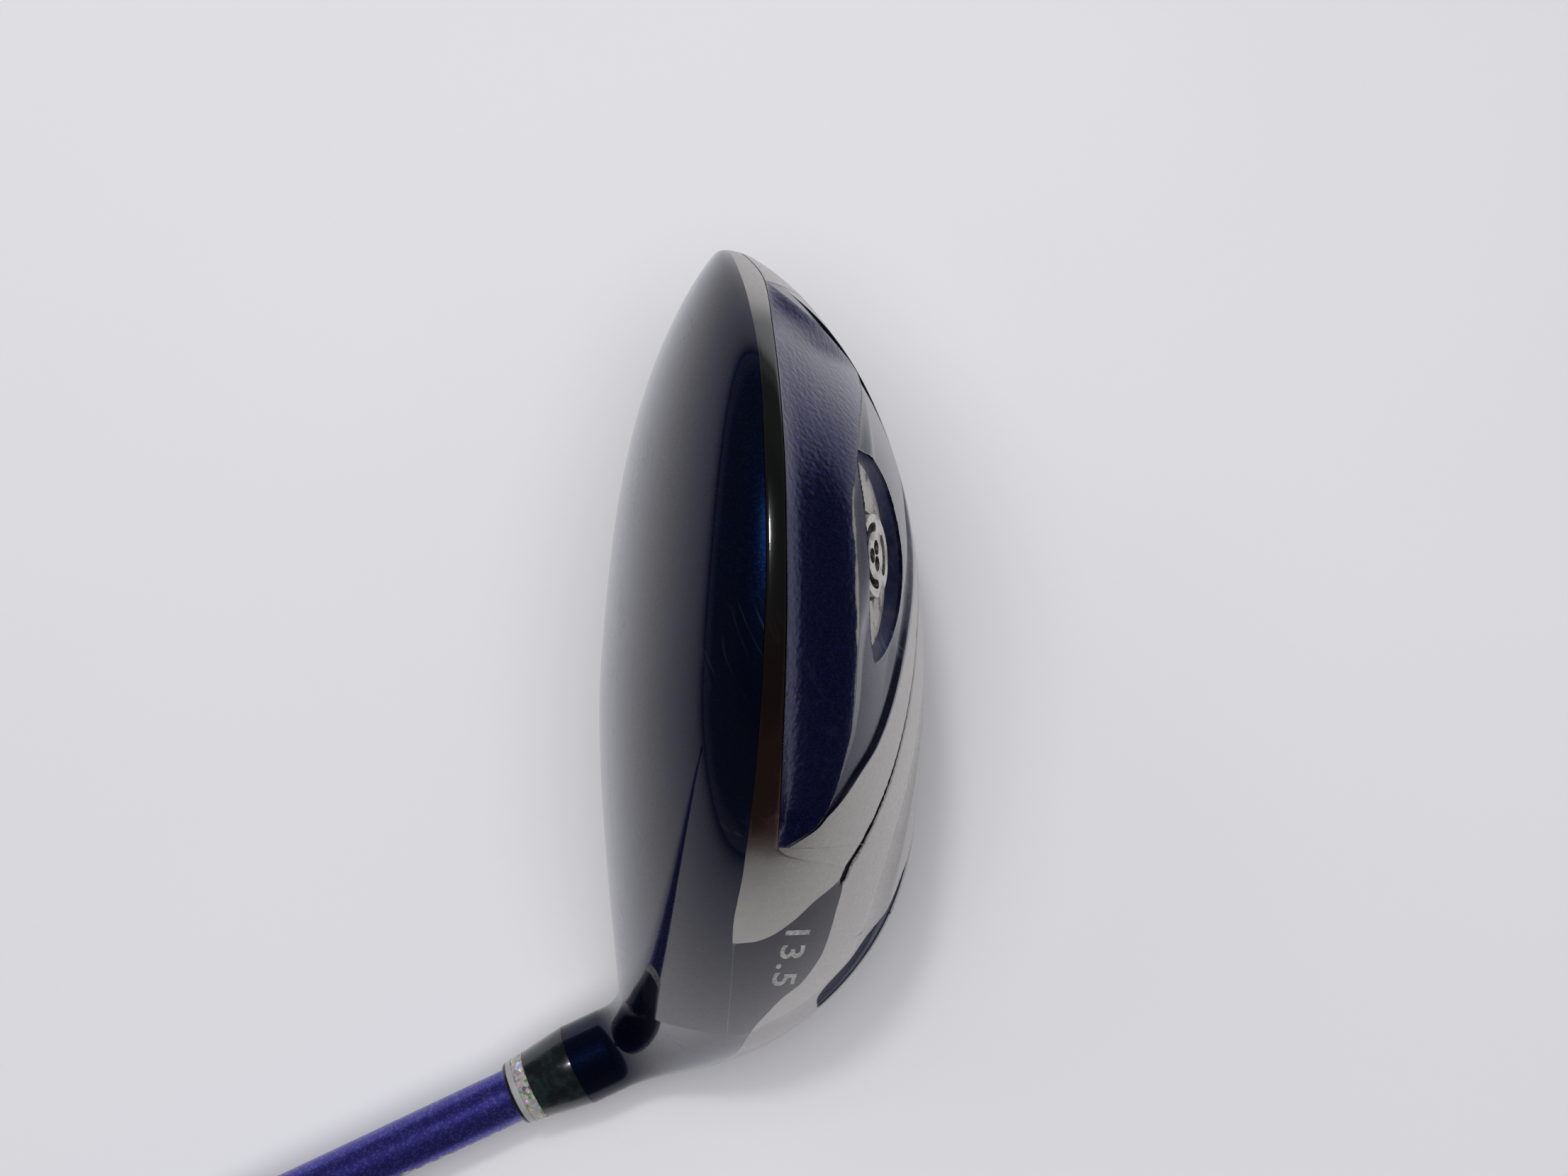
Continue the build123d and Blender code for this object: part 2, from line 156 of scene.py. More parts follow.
def press_face(points):
    """Presses the front of the form back onto the bulged face; also says how far outside it was."""
    away = points - FACE_CENTRE
    reach = np.linalg.norm(away, axis=-1, keepdims=True)
    out = reach - FACE_RADIUS
    soft = -FACE_EDGE * np.logaddexp(0, -out / FACE_EDGE)
    weight = smooth_step((points[..., 0:1] + 18) / 11)
    moved = points - away / reach * (out - soft) * weight
    return moved, out[..., 0] - 40 * (1 - weight[..., 0])


# ---- Border lines on the head, as (t, height) or (t, depth) points ----
def smooth_curve(points, t):
    """A smooth line through points that never overshoots them."""
    x = np.array([p[0] for p in points], float)
    y = np.array([p[1] for p in points], float)
    h = np.diff(x)
    d = np.diff(y) / h
    m = np.zeros_like(x)
    same = d[:-1] * d[1:] > 0
    w1 = 2 * h[1:] + h[:-1]
    w2 = h[1:] + 2 * h[:-1]
    inner = (w1 + w2) / (w1 / np.where(same, d[:-1], 1) + w2 / np.where(same, d[1:], 1))
    m[1:-1] = np.where(same, inner, 0)
    m[0] = d[0]
    m[-1] = d[-1]
    i = np.clip(np.searchsorted(x, t) - 1, 0, len(h) - 1)
    s = span((t - x[i]) / h[i])
    a = (1 + 2 * s) * (1 - s) ** 2 * y[i] + s * (1 - s) ** 2 * h[i] * m[i]
    return a + s * s * (3 - 2 * s) * y[i + 1] + s * s * (s - 1) * h[i] * m[i + 1]


CROWN_EDGE = ((-15, 25.9), (0, 25.7), (6, 25.9), (15, 25.1), (31, 24.6), (50, 25.2), (59, 26.0),
              (69.4, 27.2), (77.4, 28.4), (85.2, 30.4), (92.8, 33.3), (97, 35.4))
BAND_LOW = ((-15, 25.8), (3.6, 25.6), (4.2, 23.0), (7.1, 18.9), (10.5, 16.0), (14.3, 12.7), (15.2, 12.6),
            (17.6, 20.4), (18.4, 21.1), (22.1, 21.2), (31.7, 21.6), (45.1, 22.3), (56.7, 23.3),
            (64.4, 24.1), (75.1, 25.7), (83.0, 27.3), (89.6, 28.9), (97, 34.0))
PANEL_START = 18.4
PANEL_END = 89.4
RIDGE = ((18.4, 20.2), (21.5, 16.6), (25.5, 15.0), (34.2, 13.7), (45.7, 13.9), (50.7, 14.4), (57.6, 15.3),
         (61.6, 15.8), (70.2, 15.5), (75.4, 15.2), (79.7, 15.8), (82.5, 19.0), (89.4, 28.6))
BORDER_HEIGHT = ((18.4, 20.0), (21.8, 16.2), (24.8, 13.8), (28.2, 11.8), (31.3, 10.0), (36.3, 8.3),
                 (41.1, 7.3), (45.9, 6.6), (50.0, 6.3))
BORDER_DEPTH = ((45.9, -64.9), (50.0, -60.9), (58.0, -51.5), (66.0, -46.0), (74.0, -45.0), (80.0, -48.5),
                (84.0, -54.0), (89.4, -61.5))


def angle_at_height(section, height):
    up_share = (height - section["middle"]) / (section["top"] - section["middle"])
    low_share = (section["middle"] - height) / (section["middle"] - section["bottom"])
    return np.where(up_share >= 0, np.arcsin(span(up_share)), -np.arcsin(span(low_share)))


def angle_at_depth(section, depth):
    share = (depth - section["bottom_centre"]) / (section["rear"] - section["bottom_centre"])
    return -np.arccos(span(share))


def border_angles(t):
    """Angles of the strip borders at toe-ward places t, from crown edge down to panel border."""
    section = toe_section(t)
    crown = angle_at_height(section, smooth_curve(CROWN_EDGE, t))
    band = np.minimum(angle_at_height(section, smooth_curve(BAND_LOW, t)), crown - 0.004)
    ridge = angle_at_height(section, smooth_curve(RIDGE, t))
    by_height = angle_at_height(section, smooth_curve(BORDER_HEIGHT, t))
    by_depth = angle_at_depth(section, smooth_curve(BORDER_DEPTH, t))
    mix = span((t - 46) / 4)
    border = by_height * (1 - mix) + by_depth * mix
    inside = (t > PANEL_START) & (t < PANEL_END)
    ridge = np.where(inside, np.minimum(ridge, band - 0.01), band - 0.0008)
    border = np.where(inside, np.minimum(border, ridge - 0.02), ridge - 0.0008)
    return {"crown": crown, "band": band, "ridge": ridge, "border": border}


# ---- Grids ----
def toe_rows(count):
    """Toe-ward places, closer together near the tip."""
    s = np.linspace(0, 1, count)
    low = FILLET[0]
    return low + (TOE_TIP[0] * TOE_LIMIT - low) * (1 - (1 - s) ** 1.35)


def grid_points(ts, w):
    """Points and normals of the form for rows ts and angles w[row, column]."""
    section = {name: value[:, None] for name, value in toe_section(ts).items()}
    depth, height, normal_f, normal_u = around(section, w)
    points = np.stack([np.broadcast_to(ts[:, None], w.shape), depth, height], axis=-1)
    normals = np.stack([np.zeros_like(depth), normal_f, normal_u], axis=-1)
    return points, normals


def heel_points(shares, w):
    points = []
    normals = []
    for share in shares:
        depth, height, normal_f, normal_u = around(heel_section(share), w)
        angle = FAN_ANGLE * share
        t = FILLET[0] + height * math.sin(angle)
        u = FILLET[1] + height * math.cos(angle)
        points.append(np.stack([t, depth, u], axis=-1))
        turned = [normal_u * math.sin(angle), normal_f, normal_u * math.cos(angle)]
        normals.append(np.stack(turned, axis=-1))
    along = np.array([-math.sin(math.pi / 2 - LIE), 0.0, math.cos(math.pi / 2 - LIE)])
    for step in np.linspace(0, HOSEL_STRAIGHT, 8)[1:]:
        points.append(points[len(shares) - 1] + along * step)
        normals.append(normals[len(shares) - 1])
    return np.array(points), np.array(normals)


def spread(low, high, count):
    """Evenly spaced columns between two border angles for every row."""
    s = np.linspace(0, 1, count)
    return low[:, None] + (high - low)[:, None] * s[None, :]


def mesh_from_grid(name, points, keep=None, fields=None):
    """A smooth sheet from points[row, column]; keep marks the faces that stay."""
    rows, cols = points.shape[:2]
    index = np.arange(rows * cols).reshape(rows, cols)
    faces = np.stack([index[:-1, :-1], index[:-1, 1:], index[1:, 1:], index[1:, :-1]], axis=-1)
    if keep is not None:
        faces = faces[keep]
    faces = faces.reshape(-1, 4)
    corners = points.reshape(-1, 3)
    size = np.linalg.norm(np.cross(corners[faces[:, 2]] - corners[faces[:, 0]],
                                   corners[faces[:, 3]] - corners[faces[:, 1]]), axis=1)
    faces = faces[size > 1e-7]
    used, inverse = np.unique(faces, return_inverse=True)
    faces = inverse.reshape(-1, 4)
    mesh = bpy.data.meshes.new(name)
    mesh.from_pydata(to_row(corners[used]).tolist(), [], faces.tolist())
    mesh.polygons.foreach_set("use_smooth", np.ones(len(mesh.polygons), bool))
    for field, values in (fields or {}).items():
        layer = mesh.attributes.new(field, "FLOAT", "POINT")
        layer.data.foreach_set("value", values.reshape(-1)[used].astype(np.float32))
    mesh.update()
    obj = bpy.data.objects.new(name, mesh)
    bpy.context.scene.collection.objects.link(obj)
    return obj


def distance_to_line(points, line):
    """Distance from every point to a polyline in head axes."""
    best = np.full(points.shape[:-1], 1e9)
    nearest = np.zeros(points.shape[:-1])
    for i, (a, b) in enumerate(zip(line[:-1], line[1:])):
        step = b - a
        s = span(((points - a) @ step) / (step @ step))
        gap = np.linalg.norm(points - a - s[..., None] * step, axis=-1)
        closer = gap < best
        best = np.where(closer, gap, best)
        nearest = np.where(closer, (i + s) / (len(line) - 1), nearest)
    return best, nearest


def line_on_sole(points, count=40):
    """Samples a line given as (t, depth) points, on the sole's surface."""
    ts = np.linspace(points[0][0], points[-1][0], count)
    section = toe_section(ts)
    values = smooth_curve(points, ts)
    depth, height, _, _ = around(section, angle_at_depth(section, values))
    return np.stack([ts, depth, height], axis=-1)


# ---- Lines painted or pressed into the sole ----
GROOVE = ((13.6, -69.0), (16.0, -70.2), (18.4, -70.0), (21.7, -69.5), (28.4, -67.3), (37.6, -63.2),
          (44.9, -58.3), (56, -47.0), (66, -40.5), (78, -40.0), (90, -52.0))
CHANNEL_REAR = ((-11.0, -28.6), (-6.7, -38.4), (-4.0, -41.5), (-1.4, -42.1), (2.0, -43.6), (5.0, -42.9),
                (8.0, -42.4), (11.4, -42.0), (13.5, -39.5), (16.4, -37.6), (18.8, -33.7), (24.0, -27.0),
                (34.0, -17.0))
CHANNEL_FRONT = ((-11.0, -26.4), (-8.9, -26.5), (-5.8, -26.6), (-2.3, -28.8), (0.8, -29.3), (4.2, -29.5),
                 (8.0, -30.6), (11.8, -33.0), (15.9, -31.8), (20.0, -27.0), (26.0, -20.5), (34.0, -13.0))
FACET = ((-14.0, -35.5), (-11.1, -39.2), (-7.1, -41.6), (-3.6, -44.2), (1.2, -47.3), (3.3, -49.8),
         (6.7, -52.9), (12.2, -57.5), (18.0, -59.0), (24.0, -58.0), (34.0, -53.0), (46.0, -42.0))
HEEL_PAINT = ((-24, 27.5), (-18.3, 23.9), (-15.8, 23.1), (-12.6, 22.1), (-8.9, 20.2), (-6.2, 18.6),
              (-3.4, 16.2), (-1.0, 15.0), (1.8, 13.9), (5.7, 13.2), (9.1, 12.8), (12.6, 12.4), (15.2, 12.7))
groove_line = line_on_sole(GROOVE)
CHANNEL_SLANT = 0.72        # turns the depth difference at the channel into a distance
CHANNEL_DEPTH = 0.55
GROOVE_DEPTH = 0.30
FACET_SINK = 0.50
FACET_WIDTH = 9.0


def paint_side(points):
    """Millimetres above (+) or below (-) the edge of the navy paint at the heel."""
    t = points[..., 0]
    u = points[..., 2]
    edge = smooth_curve(HEEL_PAINT, np.clip(t, -24, 15.2))
    toe_stop = 14.6 - t
    over = u - edge
    return np.where(t > 10, np.minimum(over, toe_stop), over)


def depth_side(points, line, ends):
    """How far the points lie toward the target from a (t, depth) line on the sole, in millimetres."""
    t = np.clip(points[..., 0], *ends)
    return points[..., 1] - smooth_curve(line, t)


def sole_relief(points):
    """Depth of the channel, the thin groove and the flat beyond the facet line."""
    ends = (CHANNEL_REAR[0][0], CHANNEL_REAR[-1][0])
    behind = depth_side(points, CHANNEL_REAR, ends)
    ahead = -depth_side(points, CHANNEL_FRONT, ends)
    past_end = np.maximum(points[..., 0] - ends[1], ends[0] - points[..., 0])
    above_sole = points[..., 2] - 15.5 - 0.35 * np.maximum(0, -points[..., 0])
    channel = np.maximum(np.maximum(-np.minimum(behind, ahead) * CHANNEL_SLANT, past_end), above_sole)
    groove_gap, groove_along = distance_to_line(points, groove_line)
    groove = groove_gap - (0.34 + 0.22 * (1 - groove_along) ** 3)
    facet = depth_side(points, FACET, (FACET[0][0], FACET[-1][0]))
    fade = smooth_step((46 - points[..., 0]) / 20) * smooth_step((points[..., 0] + 18) / 8)
    press = -FACET_SINK * np.sin(math.pi * span(facet / FACET_WIDTH)) ** 0.8 * fade * (points[..., 2] < 24)
    press = press - CHANNEL_DEPTH * span(0.5 - channel / 0.8) - GROOVE_DEPTH * span(0.5 - groove / 0.3)
    return press, channel, groove, facet


def fields_for(points, out):
    press, channel, groove, facet = sole_relief(points)
    return press, {
        "facet_gap": facet,
        "toe_place": points[..., 0],
        "face_gap": out,
        "channel_gap": channel,
        "groove_gap": groove,
        "paint_gap": paint_side(points),
    }


# ---- Head shells ----
HOOK_ROWS = (14.2, 18.6, 40)    # extra rows where the borders turn sharply
T_ROWS = np.sort(np.concatenate([toe_rows(330), np.linspace(*HOOK_ROWS)]))
BORDERS = border_angles(T_ROWS)
PI_ROW = np.full_like(T_ROWS, math.pi)


def shell_strip(name, low, high, columns, relief=None):
    w = spread(low, high, columns)
    points, normals = grid_points(T_ROWS, w)
    points, out = press_face(points)
    extra = {}
    if relief is not None:
        push, extra = relief(points, w, low, high)
        points = points + normals * push[..., None]
    press, fields = fields_for(points, out)
    if name == "sole":
        points = points + normals * press[..., None]
    fields.update(extra)
    return points, fields


def strip_share(w, low, high):
    return (w - low[:, None]) / (high - low)[:, None]


PANEL_SPAN = span((T_ROWS - PANEL_START) / 5) * span((PANEL_END - T_ROWS) / 5)
PANEL_SPAN = smooth_step(PANEL_SPAN)[:, None]
RIDGE_RISE = 0.25
BAND_SINK = 0.12
SCOOP_DEPTH = 1.7
BORDER_STEP = 0.35
SCOOP_WIDTH = 10.0          # rough widths of the two zones beside the crest
SMOOTH_WIDTH = 20.0
SWELLING = ((-15, 0.0), (36, 0.0), (43, -0.3), (49, 0.2), (55, 0.7), (60, 0.9), (66, 1.1), (75, 0.5),
            (82, 0.0), (98, 0.0))


def scoop(points, w, low, high):
    """Hollow between the band and the ridge."""
    s = 1 - strip_share(w, low, high)
    step = -BORDER_STEP * smooth_step(s / 0.03)
    valley = -SCOOP_DEPTH * np.sin(math.pi * span(s) ** 0.75) ** 1.2
    rise = (RIDGE_RISE + BORDER_STEP) * smooth_step((s - 0.55) / 0.45)
    return (step + valley + rise) * PANEL_SPAN, {"crest_gap": (1 - s) * SCOOP_WIDTH}


def beyond_ridge(points, w, low, high):
    """Smooth zone between the ridge and the raised lip at the panel's border."""
    s = 1 - strip_share(w, low, high)
    fall = RIDGE_RISE * (1 - smooth_step(s / 0.22)) - 0.30 * smooth_step(s / 0.22)
    lip = 0.55 * smooth_step((s - 0.90) / 0.03) - 0.25 * smooth_step((s - 0.985) / 0.015)
    dip = -0.25 * np.exp(-(((s - 0.88) / 0.02) ** 2))
    plateau = smooth_step(s / 0.15) * smooth_step((0.88 - s) / 0.20)
    swell = smooth_curve(SWELLING, points[..., 0]) * plateau
    return (fall + lip + dip + swell) * PANEL_SPAN, {"crest_gap": s * SMOOTH_WIDTH}


def band_relief(points, w, low, high):
    """Edges of the band sunk a little, fading out in its hook."""
    s = strip_share(w, low, high)
    edge = np.minimum(s, 1 - s)
    hook = span((T_ROWS - 16) / 4)[:, None]
    return (BAND_SINK * smooth_step(edge / 0.12) - BAND_SINK) * hook, {}


# ---- Weight port: its plane and lens-shaped pocket ----
PORT_T = 55.0
PORT_F = -78.0
PORT_TILT = math.radians(19.5)
PORT_LEAN = math.radians(8.0)
LENS_HALF = 13.2
LENS_CORNER = 1.5
LENS_REAR = 5.5
LENS_FRONT = -9.8
FLOOR_DEPTH = -1.5
SEAT_DEPTH = -3.6
SEAT_RADIUS = 5.45
SCREW_HOLE = 3.0


def port_origin():
    section = {name: float(v) for name, v in toe_section(np.float64(PORT_T)).items()}
    angle = float(angle_at_depth(section, PORT_F))
    _, height, _, _ = around(section, angle)
    return np.array([PORT_T, PORT_F, float(height)])


PORT_POINT = port_origin()
PORT_X = np.array([math.cos(PORT_LEAN), 0.0, math.sin(PORT_LEAN)])
PORT_OUT = np.array([math.sin(PORT_LEAN) * math.cos(PORT_TILT), -math.sin(PORT_TILT),
                     -math.cos(PORT_LEAN) * math.cos(PORT_TILT)])
PORT_Y = np.cross(PORT_OUT, PORT_X)


def to_port(points):
    away = points - PORT_POINT
    return np.stack([away @ PORT_X, away @ PORT_Y, away @ PORT_OUT], axis=-1)


def from_port(local):
    local = np.asarray(local, float)
    return PORT_POINT + local[..., 0:1] * PORT_X + local[..., 1:2] * PORT_Y + local[..., 2:3] * PORT_OUT


def arc_circle(half, corner, apex):
    """Centre height and radius of the circle through (-half, corner), (0, apex), (half, corner)."""
    k = (apex**2 - corner**2 - half**2) / (2 * (apex - corner))
    return k, abs(apex - k)


class Lens:
    """An outline between two arcs that meet in a corner on each side."""

    def __init__(self, half, corner, rear, front):
        self.circles = (arc_circle(half, corner, rear), arc_circle(half, corner, front))

    def inside(self, x, y):
        """Distance inside the outline, positive within, and the way out."""
        best = None
        for k, radius in self.circles:
            reach = np.hypot(x, y - k)
            gap = radius - reach
            way = np.stack([x / reach, (y - k) / reach], axis=-1)
            if best is None:
                best, ways = gap, way
            else:
                closer = (gap < best)[..., None]
                ways = np.where(closer, way, ways)
                best = np.minimum(best, gap)
        return best, ways

    def loop(self, phi, grow=0.0, middle=-1.0):
        reach = np.full_like(phi, 1e9)
        for k, radius in self.circles:
            b = np.sin(phi) * (middle - k)
            c = (middle - k) ** 2 - (radius + grow) ** 2
            reach = np.minimum(reach, -b + np.sqrt(b * b - c))
        return np.stack([reach * np.cos(phi), middle + reach * np.sin(phi)], axis=-1)


POCKET = Lens(LENS_HALF, LENS_CORNER, LENS_REAR, LENS_FRONT)


def open_pocket(points):
    """Moves the points just inside the pocket's outline onto it; says which lie inside."""
    local = to_port(points)
    gap, way = POCKET.inside(local[..., 0], local[..., 1])
    near = np.abs(local[..., 2]) < 5
    inside = (gap > 1e-6) & near
    keep = ~(inside[:-1, :-1] & inside[1:, :-1] & inside[:-1, 1:] & inside[1:, 1:])
    edge_move = np.where(inside & (gap < 1.2), gap, 0)[..., None] * way
    local[..., :2] += edge_move
    return from_port(local), keep


# ---- Building the head's pieces ----
FACE_CUT = -2.0             # the face pieces begin this far inside the face
ROOT = "club"
TIP_ROWS = 8                # rows that close the toe tip
TIP_REACH = 0.7


def add_strip(name, low, high, columns, body, nodes, relief=None, cut_face=True, pocket=False):
    points, fields = shell_strip(name, low, high, columns, relief)
    keep = np.ones((points.shape[0] - 1, points.shape[1] - 1), bool)
    if pocket:
        points, keep = open_pocket(points)
    tip = np.array([T_ROWS[-1], TOE_TIP[1], TOE_TIP[2] - 0.6])
    rows = [points]
    extra = {key: [values] for key, values in fields.items()}
    for angle in np.linspace(0, math.pi / 2, TIP_ROWS)[1:]:
        ring = tip + (points[-1] - tip) * math.cos(angle)
        ring[:, 0] = T_ROWS[-1] + TIP_REACH * math.sin(angle)
        rows.append(ring[None])
        for key in extra:
            extra[key].append(fields[key][-1:])
    points = np.concatenate(rows)
    fields = {key: np.concatenate(parts) for key, parts in extra.items()}
    keep = np.concatenate([keep, np.ones((TIP_ROWS - 1, keep.shape[1]), bool)])
    made = []
    if cut_face:
        gap = fields["face_gap"]
        front = (gap[:-1, :-1] > FACE_CUT) & keep
        made.append(mesh_from_grid(name + "_face", points, front, fields))
        keep = keep & ~front
    made.insert(0, mesh_from_grid(name, points, keep, fields))
    for piece in made:
        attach(piece, body)
    if nodes:
        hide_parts(*nodes)
    return made


crown, crown_face = add_strip("crown", BORDERS["crown"], PI_ROW, 240, ROOT, ("crown_shell",))
band = add_strip("skirt_band_skin", BORDERS["band"], BORDERS["crown"], 16, ROOT, ("skirt_band",),
                 relief=band_relief, cut_face=False)[0]
scooped = add_strip("rear_panel_scoop", BORDERS["ridge"], BORDERS["band"], 64, ROOT, (),
                    relief=scoop, cut_face=False)[0]
smooth_zone = add_strip("rear_panel_sole_side", BORDERS["border"], BORDERS["ridge"], 110, ROOT,
                        ("rear_panel",), relief=beyond_ridge, cut_face=False, pocket=True)[0]
sole, sole_face = add_strip("sole", -PI_ROW, BORDERS["border"], 300, ROOT, ("sole_shell",))

heel_shares = np.linspace(0, 1, 60)
heel_w = np.linspace(-math.pi, math.pi, 420)
heel_grid, heel_normals = heel_points(heel_shares, heel_w)
heel_grid, heel_out = press_face(heel_grid)
heel_press, heel_fields = fields_for(heel_grid, heel_out)
below_axis = (heel_w < 0)[None, :]
heel_grid = heel_grid + heel_normals * np.where(below_axis, heel_press, 0)[..., None]
heel = mesh_from_grid("hosel_skin", heel_grid, fields=heel_fields)
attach(heel, ROOT)
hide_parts("hosel")

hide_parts("face_cup")


# ---- Port boss: rim, walls, silver floor, seat and screw hole ----
def loops_to_mesh(name, loops):
    """Closed loops of equal length joined in order; loops[loop, point, xyz] in head axes."""
    loops = np.asarray(loops)
    points = np.concatenate([loops, loops[:, :1]], axis=1)
    return mesh_from_grid(name, points)


def surface_fit():
    """A curved fit of the panel's surface around the port, height over the port's plane."""
    w = spread(BORDERS["border"], BORDERS["ridge"], 110)
    points, normals = grid_points(T_ROWS, w)
    push, _ = beyond_ridge(points, w, BORDERS["border"], BORDERS["ridge"])
    local = to_port(points + normals * push[..., None])
    gap, _ = POCKET.inside(local[..., 0], local[..., 1])
    ring = np.abs(gap) < 0.8
    x, y, z = local[ring].T
    terms = fit_terms(x, y)
    return np.linalg.lstsq(terms, z, rcond=None)[0]


def fit_terms(x, y):
    powers = [(i, j) for i in range(6) for j in range(6 - i)]
    return np.stack([(x / 10) ** i * (y / 10) ** j for i, j in powers], axis=-1)


SURFACE = surface_fit()
PHI = np.linspace(0, 2 * math.pi, 240, endpoint=False)


def port_loop(xy, height):
    return from_port(np.concatenate([xy, np.full((len(xy), 1), height)], axis=-1))


def rim_loop(grow, sink):
    xy = POCKET.loop(PHI, grow)
    z = fit_terms(xy[:, 0], xy[:, 1]) @ SURFACE + sink
    return from_port(np.concatenate([xy, z[:, None]], axis=-1))


def circle_loop(radius, height):
    xy = np.stack([radius * np.cos(PHI), radius * np.sin(PHI)], axis=-1)
    return port_loop(xy, height)


FLOOR_LENS = Lens(11.6, 2.2, 5.35, -6.9)
FLOOR_RIM = 5.75            # where the floor meets the rounded edge of the seat
WALL_BEND = 0.12
FLOOR_HUMP = 0.10
floor_edge = FLOOR_LENS.loop(PHI, middle=-0.4)
wall_loops = [rim_loop(0.35, -0.22), rim_loop(0.06, -0.03), rim_loop(-0.06, -0.06)]
top = rim_loop(-0.20, -0.22)
bottom = port_loop(floor_edge, FLOOR_DEPTH)
for share in np.linspace(0, 1, 12):
    bend = share + WALL_BEND * math.sin(math.pi * share)
    wall_loops.append(top * (1 - bend) + bottom * bend if share < 1 else bottom)
port_wall = loops_to_mesh("port_wall", wall_loops)
floor_loops = [port_loop(floor_edge, FLOOR_DEPTH)]
rim_circle = np.stack([FLOOR_RIM * np.cos(PHI), FLOOR_RIM * np.sin(PHI)], axis=-1)
for share in np.linspace(0, 1, 14)[1:]:
    xy = floor_edge * (1 - share) + rim_circle * share
    reach = np.hypot(xy[:, 0], xy[:, 1])
    xy = xy * (np.maximum(reach, FLOOR_RIM) / reach)[:, None]
    hump = FLOOR_HUMP * math.sin(math.pi * share)
    floor_loops.append(port_loop(xy, FLOOR_DEPTH + hump))
floor_loops += [circle_loop(5.60, FLOOR_DEPTH - 0.03), circle_loop(SEAT_RADIUS, FLOOR_DEPTH - 0.16),
                circle_loop(SEAT_RADIUS, SEAT_DEPTH + 0.1), circle_loop(SEAT_RADIUS - 0.1, SEAT_DEPTH),
                circle_loop(SCREW_HOLE + 0.1, SEAT_DEPTH), circle_loop(SCREW_HOLE, SEAT_DEPTH - 0.1)]
for turn in range(6):
    low = SEAT_DEPTH - 0.6 - turn
    floor_loops += [circle_loop(SCREW_HOLE, low + 0.3), circle_loop(SCREW_HOLE + 0.3, low),
                    circle_loop(SCREW_HOLE, low - 0.3)]
port_floor = loops_to_mesh("port_floor", floor_loops)
for part in (port_wall, port_floor):
    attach(part, ROOT)
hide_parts("weight_port")


# ---- Loft number on the heel ----
def heel_surface_f(t, u):
    """Depth of the rear of the lower form seen at one side-view place."""
    section = toe_section(t)
    share = span((section["middle"] - u) / (section["middle"] - section["bottom"]))
    reach = section["rear"] - section["bottom_centre"]
    return section["bottom_centre"] + reach * np.sqrt(1 - share**2)


def add_loft_number():
    curve = bpy.data.curves.new("loft_number_text", "FONT")
    curve.body = "13.5"
    curve.size = 4.9
    curve.space_character = 1.12
    curve.offset = 0.09
    curve.resolution_u = 12
    source = bpy.data.objects.new("loft_number_text", curve)
    bpy.context.scene.collection.objects.link(source)
    mesh = bpy.data.meshes.new_from_object(source)
    bpy.data.objects.remove(source)
    bm = bmesh.new()
    bm.from_mesh(mesh)
    bmesh.ops.triangulate(bm, faces=bm.faces)
    for _ in range(3):
        long_edges = [e for e in bm.edges if e.calc_length() > 0.35]
        bmesh.ops.subdivide_edges(bm, edges=long_edges, cuts=1)
        bmesh.ops.triangulate(bm, faces=bm.faces)
    bm.to_mesh(mesh)
    bm.free()
    flat = np.array([v.co[:] for v in mesh.vertices])
    flat = (flat - flat.min(axis=0)) / (flat.max(axis=0) - flat.min(axis=0) + 1e-9) * NUMBER_SIZE
    t = NUMBER_START[0] + NUMBER_READ[0] * flat[:, 0] + NUMBER_TOPS[0] * flat[:, 1]
    u = NUMBER_START[1] + NUMBER_READ[1] * flat[:, 0] + NUMBER_TOPS[1] * flat[:, 1]
    points = np.stack([t, heel_surface_f(t, u) - 0.03, u], axis=-1)
    mesh.vertices.foreach_set("co", to_row(points).reshape(-1))
    mesh.update()
    number = bpy.data.objects.new("loft_number", mesh)
    bpy.context.scene.collection.objects.link(number)
    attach(number, ROOT)
    return number


NUMBER_START = (6.2, 19.1)
NUMBER_READ = (-0.991, 0.132)
NUMBER_TOPS = (0.0, -1.0)
NUMBER_SIZE = np.array([9.9, 3.2, 0.0])
number = add_loft_number()


# ---- Score lines on the face ----
def face_strip(t_low, t_high, height, width):
    ts = np.linspace(t_low, t_high, 60)
    rows = []
    for side in (-0.5, 0.5):
        u = np.full_like(ts, height + side * width)
        reach = np.sqrt(FACE_RADIUS**2 - (ts - FACE_CENTRE[0]) ** 2 - (u - FACE_CENTRE[2]) ** 2)
        rows.append(np.stack([ts, FACE_CENTRE[1] + reach + 0.012, u], axis=-1))
    return np.array(rows)


def add_score_lines():
    pieces = []
    for i in range(8):
        height = 13.5 + 3.6 * i
        spread_t = 27.0 - 0.35 * abs(i - 4) ** 2
        for t_low, t_high in ((42 - spread_t, 27), (57, 42 + spread_t)):
            pieces.append(mesh_from_grid("score_part", face_strip(t_low, t_high, height, 0.8)))
    with bpy.context.temp_override(active_object=pieces[0], selected_editable_objects=pieces,
                                   selected_objects=pieces):
        bpy.ops.object.join()
    pieces[0].name = "score_lines"
    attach(pieces[0], ROOT)
    return pieces[0]


score_lines = add_score_lines()


